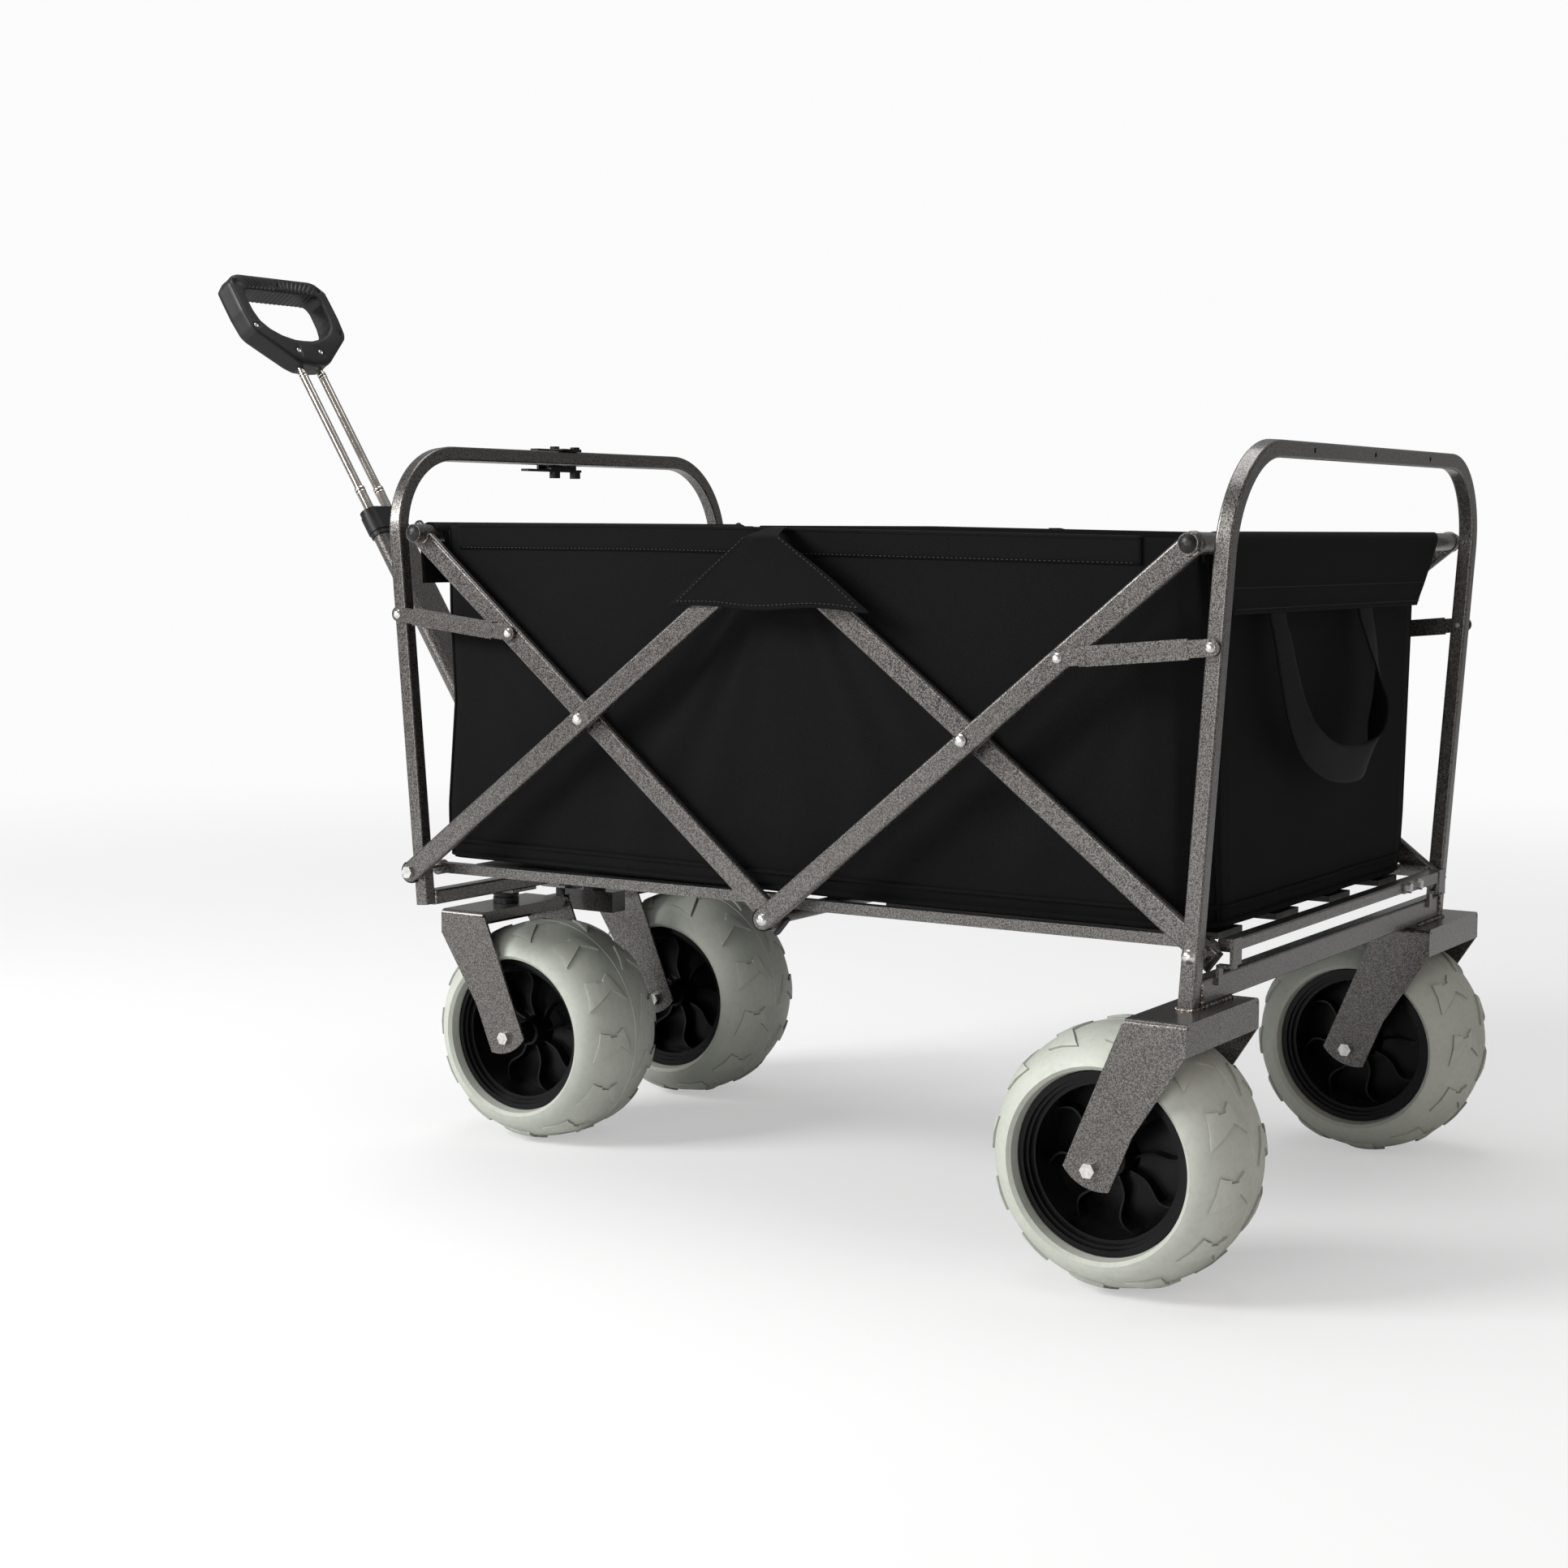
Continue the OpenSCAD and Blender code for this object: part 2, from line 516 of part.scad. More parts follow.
// ---------- handle ----------
module along() translate([HP[0], 0, HP[1]]) rotate([0, -(90 - handle_deg), 0]) children();
module handle_yoke() place() color(paint) {
    difference() {
        union() {
            bx(-66, -30, -17.5, 17.5, 268.2, 271.2);
            for (s = [-1, 1]) {
                sbx(s, -62, -38.6, 14.4, 17.5, 268.2, 280);
                cy(HP[0], HP[1], 11.7, s * 14.4, s * 17.5);
            }
        }
        cy(HP[0], HP[1], 4, -30, 30);
        cz(-44, 0, 4, 260, 275);
    }
    cz(-44, 0, 4, 243.5, 271.2);
    cz(-44, 0, 6.5, 240, 245.5, 6);
    cy(HP[0], HP[1], 4, -17.5, 17.5);
    for (s = [-1, 1]) hexy(HP[0], HP[1], 7, s * 17.5, s * 21.5);
}
module oval(w, t) {
    square([t, w - t], center = true);
    for (k = [-1, 1]) translate([0, k * (w - t) / 2]) circle(r = t / 2, $fn = 48);
}
s0 = 17.8;
module handle_tube() place() color(paint) along() difference() {
    union() {
        cy(0, 0, 7, -13.9, 13.9);
        bx(-7, 7, -13.9, 13.9, 0, s0 + 4);
        translate([0, 0, s0]) linear_extrude(472) oval(lower_w, 20);
    }
    cy(0, 0, 4 + bev, -30, 30);
    for (k = [-1, 1]) translate([0, k * rod_y, s0 + 8]) cylinder(r = rod_r + 2.2, h = 600, $fn = 48);
}
module handle_collar() place() color(plastic) along() difference() {
    union() {
        translate([0, 0, s0 + 472]) linear_extrude(37) oval(lower_w + 4, 24);
        translate([0, 0, s0 + 478]) linear_extrude(24) oval(lower_w + 6.5, 26.5);
    }
    for (k = [-1, 1]) translate([0, k * rod_y, s0 + 470]) cylinder(r = rod_r + 0.06, h = 60, $fn = 48);
    translate([-14.5, 0, s0 + 490]) rotate([0, 90, 0]) cylinder(r = 5, h = 4, $fn = 32);
}
// telescopic rod pairs
module rodpair(z0, z1, r, ri) for (k = [-1, 1]) translate([0, k * rod_y, 0]) difference() {
    translate([0, 0, z0]) cylinder(r = r, h = z1 - z0, $fn = 48);
    translate([0, 0, z0 + 4]) cylinder(r = ri, h = z1 - z0, $fn = 48);
}
module rods_lower() place() color(steel) along() {
    rodpair(s0 + 290, s0 + 544, rod_r, rod_r - 0.95);
}
module rods_middle() place() color(steel) along() {
    rodpair(s0 + 520, s0 + 718.5, rod_r - 1.0, rod_r - 1.95);
}
module rods_upper() place() color(steel) along() {
    rodpair(s0 + 540, s0 + 757.5, rod_r - 2.0, rod_r - 3.5);
}
module grip2d_outer() polygon([[857, -66], [857, 66], [854, 75], [842, 88], [800, 88.5], [775, 86], [768, 82], [730, 34], [724, 22], [722, 0], [724, -22], [730, -34], [768, -82], [775, -86], [800, -88.5], [842, -88], [854, -75]]);
module grip2d_inner() polygon([[834, -58], [834, 58], [831, 65], [823, 69], [800, 68], [786, 64], [774, 52], [766, 36], [761, 16], [761, -16], [766, -36], [774, -52], [786, -64], [800, -68], [823, -69], [831, -65]]);
module grip() place() color(plastic) along() difference() {
    union() {
        translate([0, 0, s0]) rotate([0, -90, 0]) translate([0, 0, -12]) linear_extrude(24) difference() { grip2d_outer(); grip2d_inner(); }
        translate([0, 0, s0]) rotate([0, -90, 0]) translate([0, 0, -14]) linear_extrude(28) difference() {
            translate([792, 0]) scale([0.972, 0.975]) translate([-792, 0]) grip2d_outer();
            translate([797, 0]) scale([1.05, 1.035]) translate([-797, 0]) grip2d_inner();
        }
    }
    for (k = [-1, 1]) translate([0, k * rod_y, s0 + 715]) cylinder(r = rod_r - 2.0, h = 42.5, $fn = 48);
    translate([0, 0, s0]) for (p = [[844, 77], [845.5, 0], [777, 77], [743, 20]], k = (p[1] == 0 ? [1] : [-1, 1])) translate([12.4, k * p[1], p[0]]) rotate([0, 90, 0]) cylinder(r = 3.6, h = 6, $fn = 32);
}
module grip_screws() place() color(steel) along() translate([0, 0, s0]) {
    for (p = [[844, 77], [777, 77], [743, 20]], k = [-1, 1]) translate([12.4, k * p[1], p[0]]) rotate([0, 90, 0]) cylinder(r = 3.6, h = 1.4, $fn = 32);
    translate([12.4, 0, 845.5]) rotate([0, 90, 0]) cylinder(r = 3.6, h = 1.4, $fn = 32);
}

// ---------- bag ----------
module side_poly(i) polygon([[17 + i, 341 + i], [20 + i, 390], [31 + i, 515], [26 + i, 615], [25 + i, 700 + 2 * i], [917 - i, 700 + 2 * i], [921 - i, 600], [923 - i, 334 + i], [600, 332.4 + i], [100, 338 + i]]);
module fabric_bag() place() color(cloth) difference() {
    union() {
        difference() {
            intersection() {
                rotate([90, 0, 0]) translate([0, 0, -bag_y]) linear_extrude(2 * bag_y) side_poly(0);
                translate([0, 0, 300]) linear_extrude(500) polygon([[0, -bag_y], [860, -bag_y], [925, -262], [925, 262], [860, bag_y], [0, bag_y]]);
            }
            intersection() {
                rotate([90, 0, 0]) translate([0, 0, -(bag_y - bag_t)]) linear_extrude(2 * (bag_y - bag_t)) side_poly(bag_t);
                translate([0, 0, 300]) linear_extrude(500) polygon([[0, -(bag_y - bag_t)], [858.5, -(bag_y - bag_t)], [925, -256.5], [925, 256.5], [858.5, bag_y - bag_t], [0, bag_y - bag_t]]);
            }
        }
        // hems round the two carrying tubes and the rear hem hanging down
        cy(FT[0], FT[1], bag_tube_r + 3, -296, 296);
        bx(8, 27, -296, 296, 706.4, 710);
        bx(18.5, 28, -296, 296, 640, 706);
        bx(-5.2, -2.2, -308, 308, 641, 697);
        cy(RT[0], RT[1], bag_tube_r + 3, -300, 300);
        bx(914, 930.5, -262, 262, 697, 705);
        bx(940.6, 943.6, -288, 240, 626, 692);
    }
    cy(FT[0], FT[1], bag_tube_r + 0.4, -320, 320);
    cy(RT[0], RT[1], bag_tube_r + 0.4, -320, 320);
}
module side_flaps() place() color(cloth) for (s = [-1, 1]) translate([0, s > 0 ? 344.6 : -341.4, 0]) rotate([90, 0, 0]) linear_extrude(3.2)
    polygon([[351, 628], [455, 703], [464, 706.5], [473, 703], [589.5, 618], [560, 622], [500, 625], [430, 624], [380, 630]]);
module webbing_loop() place() color(cloth) {
    // flat strap hanging in a loop from the rear hem
    bx(944.2, 946.2, -201, -161, 560, 640);
    bx(944.2, 946.2, 37, 77, 560, 640);
    difference() {
        translate([944.2, -62, 560]) rotate([90, 0, 90]) linear_extrude(2) scale([1.39, 1]) intersection() {
            difference() { circle(r = 100, $fn = 96); scale([0.7122, 0.7]) circle(r = 100, $fn = 96); }
            translate([-101, -101]) square([202, 101.5]);
        }
    }
}

front_frame_tube();
front_cross_bar();
handle_clip();
handle_bracket();
bearing_bushes();
front_links();
front_link_rivets();
rear_links();
rear_link_rivets();
bar_b_left();
bar_b_right();
bar_b_caps();
bar_b_bolts();
bar_a_left();
bar_a_right();
front_top_tube();
front_caps();
bar_d_left();
bar_d_right();
bar_d_plugs();
bar_d_bolts();
bar_c_left();
bar_c_right();
rear_top_tube();
rear_caps();
bottom_cross_tube();
bottom_bolts();
rear_frame_tube();
rear_cross_bar();
rear_fork_left();
rear_fork_right();
rear_fasteners();
base_rear_bar();
tyre_rear_left();
tyre_rear_right();
hub_rear_left();
hub_rear_right();
caster_fork_left();
caster_fork_right();
caster_axle_left();
caster_axle_right();
tyre_front_left();
tyre_front_right();
hub_front_left();
hub_front_right();
base_rails_front();
base_slats_front();
base_rails_rear();
base_slats_rear();
handle_yoke();
handle_tube();
handle_collar();
rods_lower();
rods_middle();
rods_upper();
grip();
grip_screws();
fabric_bag();
side_flaps();
webbing_loop();
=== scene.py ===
import bpy, bmesh, json, math, random
import numpy as np
from mathutils import Vector, Matrix, noise


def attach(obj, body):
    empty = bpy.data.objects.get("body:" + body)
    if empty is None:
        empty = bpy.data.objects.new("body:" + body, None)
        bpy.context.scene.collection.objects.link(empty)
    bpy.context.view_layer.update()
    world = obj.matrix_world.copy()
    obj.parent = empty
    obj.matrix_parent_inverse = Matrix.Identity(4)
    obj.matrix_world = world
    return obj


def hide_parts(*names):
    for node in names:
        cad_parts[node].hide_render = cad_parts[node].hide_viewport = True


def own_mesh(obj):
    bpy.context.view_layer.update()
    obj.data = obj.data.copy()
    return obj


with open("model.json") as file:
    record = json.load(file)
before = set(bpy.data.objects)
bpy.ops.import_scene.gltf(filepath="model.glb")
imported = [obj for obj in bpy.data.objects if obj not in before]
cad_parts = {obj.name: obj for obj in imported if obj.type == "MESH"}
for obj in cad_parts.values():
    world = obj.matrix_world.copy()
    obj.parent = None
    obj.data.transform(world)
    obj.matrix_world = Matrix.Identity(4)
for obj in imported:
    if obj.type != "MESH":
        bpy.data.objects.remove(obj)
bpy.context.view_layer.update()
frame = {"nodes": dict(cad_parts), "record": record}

rnd = random.Random(7)
XC = 0.228
scene = bpy.context.scene


def P(x, y, z):
    """Cart millimetres to metres in the row frame."""
    return Vector(((x / 1000) - XC, y / 1000, z / 1000))


# ------------------------------------------------------------------ camera
def camera():
    yaw, pitch, roll = math.radians(32.375), math.radians(5.425), math.radians(0.244)
    d = Vector((-math.sin(yaw) * math.cos(pitch), math.cos(yaw) * math.cos(pitch), -math.sin(pitch)))
    r = d.cross(Vector((0, 0, 1))).normalized()
    u = r.cross(d).normalized()
    r2 = r * math.cos(roll) + u * math.sin(roll)
    u2 = -r * math.sin(roll) + u * math.cos(roll)
    cam = bpy.data.cameras.new("camera")
    cam.lens = 59.154
    cam.sensor_width = 36
    cam.sensor_height = 36
    cam.shift_x = -0.006406
    cam.shift_y = -0.006655
    cam.dof.use_dof = False
    ob = bpy.data.objects.new("camera", cam)
    scene.collection.objects.link(ob)
    m = Matrix(((r2.x, u2.x, -d.x), (r2.y, u2.y, -d.y), (r2.z, u2.z, -d.z))).to_4x4()
    m.translation = Vector((1.863985 - XC, -2.486507, 0.703536))
    ob.matrix_world = m
    scene.camera = ob
    cam.clip_end = 100


camera()


# ------------------------------------------------------------------ material helpers
class Nodes:
    def __init__(self, name):
        self.m = bpy.data.materials.new(name)
        self.m.use_nodes = True
        self.t = self.m.node_tree
        self.t.nodes.clear()
        self.out = self.t.nodes.new("ShaderNodeOutputMaterial")
        self.b = self.t.nodes.new("ShaderNodeBsdfPrincipled")
        self.t.links.new(self.b.outputs[0], self.out.inputs[0])
        tc = self.t.nodes.new("ShaderNodeTexCoord")
        self.co = tc.outputs["Object"]
        self.uv = tc.outputs["UV"]

    def node(self, kind, **k):
        n = self.t.nodes.new(kind)
        for a, v in k.items():
            if a in n.inputs:
                s = n.inputs[a]
                if isinstance(v, bpy.types.NodeSocket):
                    self.t.links.new(v, s)
                else:
                    s.default_value = v
            else:
                setattr(n, a, v)
        return n

    def noise(self, scale, detail=2.0, rough=0.5, co=None, dist=0.0):
        n = self.node("ShaderNodeTexNoise")
        n.inputs["Scale"].default_value = scale
        n.inputs["Detail"].default_value = detail
        n.inputs["Roughness"].default_value = rough
        n.inputs["Distortion"].default_value = dist
        self.t.links.new(co or self.co, n.inputs["Vector"])
        return n.outputs[0]

    def ramp(self, fac, stops):
        n = self.node("ShaderNodeValToRGB")
        e = n.color_ramp.elements
        while len(e) < len(stops):
            e.new(0.5)
        for i, (p, c) in enumerate(stops):
            e[i].position = p
            e[i].color = (c, c, c, 1) if not hasattr(c, "__len__") else (*c, 1)
        self.t.links.new(fac, n.inputs[0])
        return n.outputs[0]

    def math(self, op, a, b=None):
        n = self.t.nodes.new("ShaderNodeMath")
        n.operation = op
        for i, v in enumerate((a, b)):
            if v is None:
                continue
            if isinstance(v, bpy.types.NodeSocket):
                self.t.links.new(v, n.inputs[i])
            else:
                n.inputs[i].default_value = v
        return n.outputs[0]

    def mix(self, fac, a, b, blend="MIX"):
        n = self.t.nodes.new("ShaderNodeMix")
        n.data_type = "RGBA"
        n.blend_type = blend
        for s, v in ((n.inputs[0], fac), (n.inputs[6], a), (n.inputs[7], b)):
            if isinstance(v, bpy.types.NodeSocket):
                self.t.links.new(v, s)
            elif hasattr(v, "__len__"):
                s.default_value = (*v, 1)
            else:
                s.default_value = v
        return n.outputs[2]

    def bump(self, h, strength, dist, normal=None):
        n = self.t.nodes.new("ShaderNodeBump")
        n.inputs["Strength"].default_value = strength
        n.inputs["Distance"].default_value = dist
        self.t.links.new(h, n.inputs["Height"])
        if normal is not None:
            self.t.links.new(normal, n.inputs["Normal"])
        return n.outputs[0]

    def set(self, **k):
        for a, v in k.items():
            s = self.b.inputs[a.replace("_", " ")]
            if isinstance(v, bpy.types.NodeSocket):
                self.t.links.new(v, s)
            elif hasattr(v, "__len__"):
                s.default_value = (*v, 1)
            else:
                s.default_value = v
        return self.m


def paint_mat(name="hammered_paint", gain=1.0):
    n = Nodes(name)
    a = n.noise(980, 2.5, 0.62)
    b = n.noise(520, 2.0, 0.5)
    sp = n.ramp(n.math("ADD", n.math("MULTIPLY", a, 0.7), n.math("MULTIPLY", b, 0.3)), [(0.43, 0.0), (0.575, 1.0)])
    big = n.ramp(n.noise(7, 2.0), [(0.3, 0.0), (0.7, 1.0)])
    c = n.mix(sp, (0.024 * gain, 0.0218 * gain, 0.02 * gain), (0.182 * gain, 0.173 * gain, 0.163 * gain))
    c = n.mix(n.math("MULTIPLY", big, 0.16), c, (0.105 * gain, 0.085 * gain, 0.078 * gain))
    h = n.math("ADD", a, n.math("MULTIPLY", b, 0.6))
    nm = n.bump(h, 0.4, 0.0005)
    ro = n.ramp(a, [(0.35, 0.24), (0.7, 0.38)])
    return n.set(Base_Color=c, Metallic=0.72, Roughness=ro, Normal=nm, Coat_Weight=0.5, Coat_Roughness=0.12)


def steel_mat():
    n = Nodes("zinc_steel")
    a = n.noise(300, 3)
    c = n.mix(n.ramp(a, [(0.3, 0.0), (0.7, 1.0)]), (0.52, 0.51, 0.49), (0.74, 0.73, 0.70))
    return n.set(Base_Color=c, Metallic=1.0, Roughness=n.ramp(n.noise(140, 2), [(0.3, 0.22), (0.7, 0.38)]), Normal=n.bump(a, 0.2, 0.0004))


def chrome_mat():
    n = Nodes("chromed_rod")
    a = n.noise(60, 2)
    return n.set(Base_Color=(0.62, 0.575, 0.525), Metallic=1.0, Roughness=n.ramp(a, [(0.3, 0.10), (0.7, 0.2)]), Normal=n.bump(n.noise(900, 2), 0.05, 0.0003))


def plastic_mat(name="black_plastic", lo=0.007, hi=0.014, rough=0.42, spec=0.5):
    n = Nodes(name)
    a = n.noise(1400, 2)
    w = n.noise(22, 3)
    c = n.mix(n.ramp(w, [(0.35, 0.0), (0.65, 1.0)]), (lo, lo, lo * 1.04), (hi, hi, hi * 1.02))
    return n.set(Base_Color=c, Roughness=n.ramp(w, [(0.3, rough - 0.07), (0.7, rough + 0.1)]), Specular_IOR_Level=spec, Normal=n.bump(a, 0.22, 0.0004))


def tyre_mat(name="pale_rubber", gain=1.0):
    n = Nodes(name)
    w = n.noise(9, 4, 0.6)
    f = n.noise(160, 3)
    c = n.mix(n.ramp(w, [(0.3, 0.0), (0.7, 1.0)]), (0.395 * gain, 0.412 * gain, 0.362 * gain), (0.47 * gain, 0.485 * gain, 0.43 * gain))
    c = n.mix(n.math("MULTIPLY", n.ramp(f, [(0.45, 0.0), (0.75, 1.0)]), 0.18), c, (0.24, 0.25, 0.215))
    return n.set(Base_Color=c, Roughness=n.ramp(f, [(0.3, 0.46), (0.7, 0.62)]), Normal=n.bump(n.noise(700, 3), 0.12, 0.0005))


def fabric_mat(name="woven_polyester", base=0.0021, twill=True):
    n = Nodes(name)
    # diagonal twill: fine lines in UV space, UVs are in metres
    w = n.t.nodes.new("ShaderNodeTexWave")
    w.bands_direction = "DIAGONAL"
    w.inputs["Scale"].default_value = 300
    w.inputs["Distortion"].default_value = 1.2
    w.inputs["Detail"].default_value = 2
    w.inputs["Detail Scale"].default_value = 3
    n.t.links.new(n.uv, w.inputs["Vector"])
    x = n.t.nodes.new("ShaderNodeTexWave")
    x.bands_direction = "X"
    x.inputs["Scale"].default_value = 620
    n.t.links.new(n.uv, x.inputs["Vector"])
    g = n.noise(900, 2)
    hgt = n.math("ADD", n.math("MULTIPLY", w.outputs[1], 0.7), n.math("ADD", n.math("MULTIPLY", x.outputs[1], 0.4), n.math("MULTIPLY", g, 0.5)))
    cl = n.noise(6, 3)
    c = n.mix(n.ramp(hgt, [(0.45, 0.0), (1.25, 1.0)]), (base * 0.62, base * 0.62, base * 0.66), (base * 1.9, base * 1.9, base * 1.95))
    c = n.mix(n.math("MULTIPLY", n.ramp(cl, [(0.3, 0.0), (0.7, 1.0)]), 0.3), c, (base * 1.6, base * 1.55, base * 1.5))
    return n.set(Base_Color=c, Roughness=0.74, Sheen_Weight=0.008, Sheen_Roughness=0.4, Specular_IOR_Level=0.09, Normal=n.bump(hgt, 0.45, 0.0006))


def webbing_mat():
    n = Nodes("webbing_weave")
    br = n.t.nodes.new("ShaderNodeTexBrick")
    br.inputs["Scale"].default_value = 1.0
    br.inputs["Brick Width"].default_value = 0.0042
    br.inputs["Row Height"].default_value = 0.0021
    br.inputs["Mortar Size"].default_value = 0.00032
    br.inputs["Mortar Smooth"].default_value = 0.8
    n.t.links.new(n.uv, br.inputs["Vector"])
    h = n.ramp(br.outputs["Fac"], [(0.0, 1.0), (1.0, 0.0)])
    c = n.mix(h, (0.0014, 0.0014, 0.0014), (0.0042, 0.0041, 0.004))
    return n.set(Base_Color=c, Roughness=0.6, Sheen_Weight=0.01, Specular_IOR_Level=0.1, Normal=n.bump(h, 0.7, 0.0009))


def thread_mat():
    n = Nodes("thread")
    a = n.noise(900, 2)
    c = n.mix(a, (0.008, 0.008, 0.008), (0.022, 0.022, 0.022))
    return n.set(Base_Color=c, Roughness=0.6, Normal=n.bump(a, 0.3, 0.0003))


def weld_mat():
    n = Nodes("painted_weld")
    a = n.noise(260, 3)
    c = n.mix(n.ramp(a, [(0.4, 0.0), (0.62, 1.0)]), (0.05, 0.04, 0.036), (0.34, 0.30, 0.27))
    return n.set(Base_Color=c, Metallic=0.7, Roughness=n.ramp(a, [(0.3, 0.16), (0.7, 0.3)]), Normal=n.bump(a, 0.6, 0.001))


MAT = {
    "paint": paint_mat(), "steel": steel_mat(), "chrome": chrome_mat(), "plastic": plastic_mat("black_plastic", 0.004, 0.008, 0.42, 0.32),
    "fabric": fabric_mat(), "tyre": tyre_mat(),
}
MAT_HUB = plastic_mat("hub_plastic", 0.0016, 0.003, 0.3, 0.2)
# darker copy of the hammered paint: painted shade, used on the handle bracket and in the rod neck grooves
MAT_PAINTED_SHADE = paint_mat("hammered_paint_painted_shade", 0.22)
MAT_WEB = webbing_mat()
# darker copy of the tyre rubber for the lug side walls: painted shade
MAT_LUG_WALL_SHADE = tyre_mat("rubber_lug_wall_painted_shade", 0.66)
MAT_THREAD = thread_mat()
MAT_WELD = weld_mat()
slots = {s["node"]: s["material_slot"] for s in frame["record"]["subparts"]}
for name, ob in frame["nodes"].items():
    m = MAT[slots[name]]
    if name.startswith("hub_"):
        m = MAT_HUB
    # the handle bracket gets the darker copy of the paint: painted shade
    if name == "handle_bracket":
        m = MAT_PAINTED_SHADE
    if not ob.material_slots:
        ob.data.materials.append(m)
    for s in ob.material_slots:
        s.material = m


# ------------------------------------------------------------------ mesh helpers
def make(name, verts, faces, mat, uvs=None, smooth=True, body=None):
    me = bpy.data.meshes.new(name)
    me.from_pydata([tuple(v) for v in verts], [], faces)
    me.update()
    if uvs is not None:
        lay = me.uv_layers.new(name="uv")
        idx = np.empty(len(me.loops), dtype=np.int32)
        me.loops.foreach_get("vertex_index", idx)
        arr = np.array(uvs, dtype=np.float32)[idx]
        lay.data.foreach_set("uv", arr.ravel())
    me.materials.append(mat)
    if smooth:
        me.polygons.foreach_set("use_smooth", [True] * len(me.polygons))
    ob = bpy.data.objects.new(name, me)
    scene.collection.objects.link(ob)
    if body:
        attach(ob, body)
    return ob


def grid(name, nu, nv, fn, mat, thick=0.0, closed_u=False, body=None, uvfn=None, offset=-1):
    """A surface of nu by nv cells from fn(u, v) -> Vector, u and v from 0 to 1."""
    vs, uvs = [], []
    cu = nu if closed_u else nu + 1
    for j in range(nv + 1):
        for i in range(cu):
            p = fn(i / nu, j / nv)
            vs.append(p)
            uvs.append(uvfn(i / nu, j / nv) if uvfn else (i / nu, j / nv))
    fs = []
    for j in range(nv):
        for i in range(nu):
            a = j * cu + i
            b = j * cu + (i + 1) % cu
            fs.append((a, b, b + cu, a + cu))
    ob = make(name, vs, fs, mat, uvs, body=None)
    if thick:
        md = ob.modifiers.new("thick", "SOLIDIFY")
        md.thickness = thick
        md.offset = offset
        md.use_even_offset = False
        bake(ob)
    if body:
        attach(ob, body)
    return ob


def bake(ob):
    bpy.context.view_layer.update()
    dg = bpy.context.evaluated_depsgraph_get()
    me = bpy.data.meshes.new_from_object(ob.evaluated_get(dg), depsgraph=dg)
    ob.modifiers.clear()
    old = ob.data
    ob.data = me
    me.name = ob.name
    bpy.data.meshes.remove(old)


def tube(name, pts, r, mat, sides=12, closed=False, body=None):
    """A round cord of radius r along points."""
    pts = [Vector(p) for p in pts]
    n = len(pts)
    vs, fs, uvs = [], [], []
    prev = None
    L = 0
    for i, p in enumerate(pts):
        a = pts[(i - 1) % n] if (closed or i > 0) else p
        b = pts[(i + 1) % n] if (closed or i < n - 1) else p
        t = (b - a).normalized()
        if prev is None:
            ref = Vector((0, 0, 1)) if abs(t.z) < 0.9 else Vector((1, 0, 0))
            x = t.cross(ref).normalized()
        else:
            x = (prev - t * prev.dot(t)).normalized()
        prev = x
        y = t.cross(x)
        if i:
            L += (p - pts[i - 1]).length
        rr = r(i / max(1, n - 1)) if callable(r) else r
        for k in range(sides):
            g = 2 * math.pi * k / sides
            vs.append(p + (x * math.cos(g) + y * math.sin(g)) * rr)
            uvs.append((k / sides * 2 * math.pi * rr, L))
    m = n if closed else n - 1
    for i in range(m):
        for k in range(sides):
            a = i * sides + k
            b = i * sides + (k + 1) % sides
            c = ((i + 1) % n) * sides + (k + 1) % sides
            d = ((i + 1) % n) * sides + k
            fs.append((a, b, c, d))
    if not closed:
        fs.append(tuple(range(sides))[::-1])
        fs.append(tuple((n - 1) * sides + k for k in range(sides)))
    return make(name, vs, fs, mat, uvs, body=body)


def merge(name, obs, body=None):
    """Joins meshes that share one material."""
    vs, fs, uvs = [], [], []
    mat = obs[0].data.materials[0]
    for o in obs:
        base = len(vs)
        me = o.data
        vs += [v.co.copy() for v in me.vertices]
        fs += [tuple(base + i for i in p.vertices) for p in me.polygons]
        lay = me.uv_layers.active
        uu = [(0, 0)] * len(me.vertices)
        if lay:
            for l in me.loops:
                uu[l.vertex_index] = tuple(lay.data[l.index].uv)
        uvs += uu
        bpy.data.objects.remove(o)
    return make(name, vs, fs, mat, uvs, body=body)


def nz(x, y, z=0.0):
    return noise.noise(Vector((x, y, z)))


# ------------------------------------------------------------------ bag
def lerp_tab(tab, z):
    for (z0, v0), (z1, v1) in zip(tab, tab[1:]):
        if z <= z1 or (z1, v1) == tab[-1]:
            t = min(1.0, max(0.0, (z - z0) / (z1 - z0)))
            return v0 + (v1 - v0) * t


XF = [(334, 17), (345, 18), (390, 21), (515, 32), (615, 27), (700, 26)]
XR = [(334, 922), (600, 921), (700, 918)]
YR = [(334, 245), (397, 254), (610, 268), (700, 280)]
YF = [(334, 292), (400, 299), (600, 300), (700, 300)]


def bottom_z(x):
    return 341.0 + (332.6 - 341.0) * min(1.0, max(0.0, (x - 17) / 640.0))


def top_z(x):
    return 706.0 + (697.0 - 706.0) * min(1.0, max(0.0, (x - 300) / 560.0))


def ring(z):
    """Outline of the bag at height z, as its front x, rear x, rear half width and front half width."""
    xf, xr, yr, yf = (lerp_tab(t, z) for t in (XF, XR, YR, YF))
    return xf, xr, yr, yf


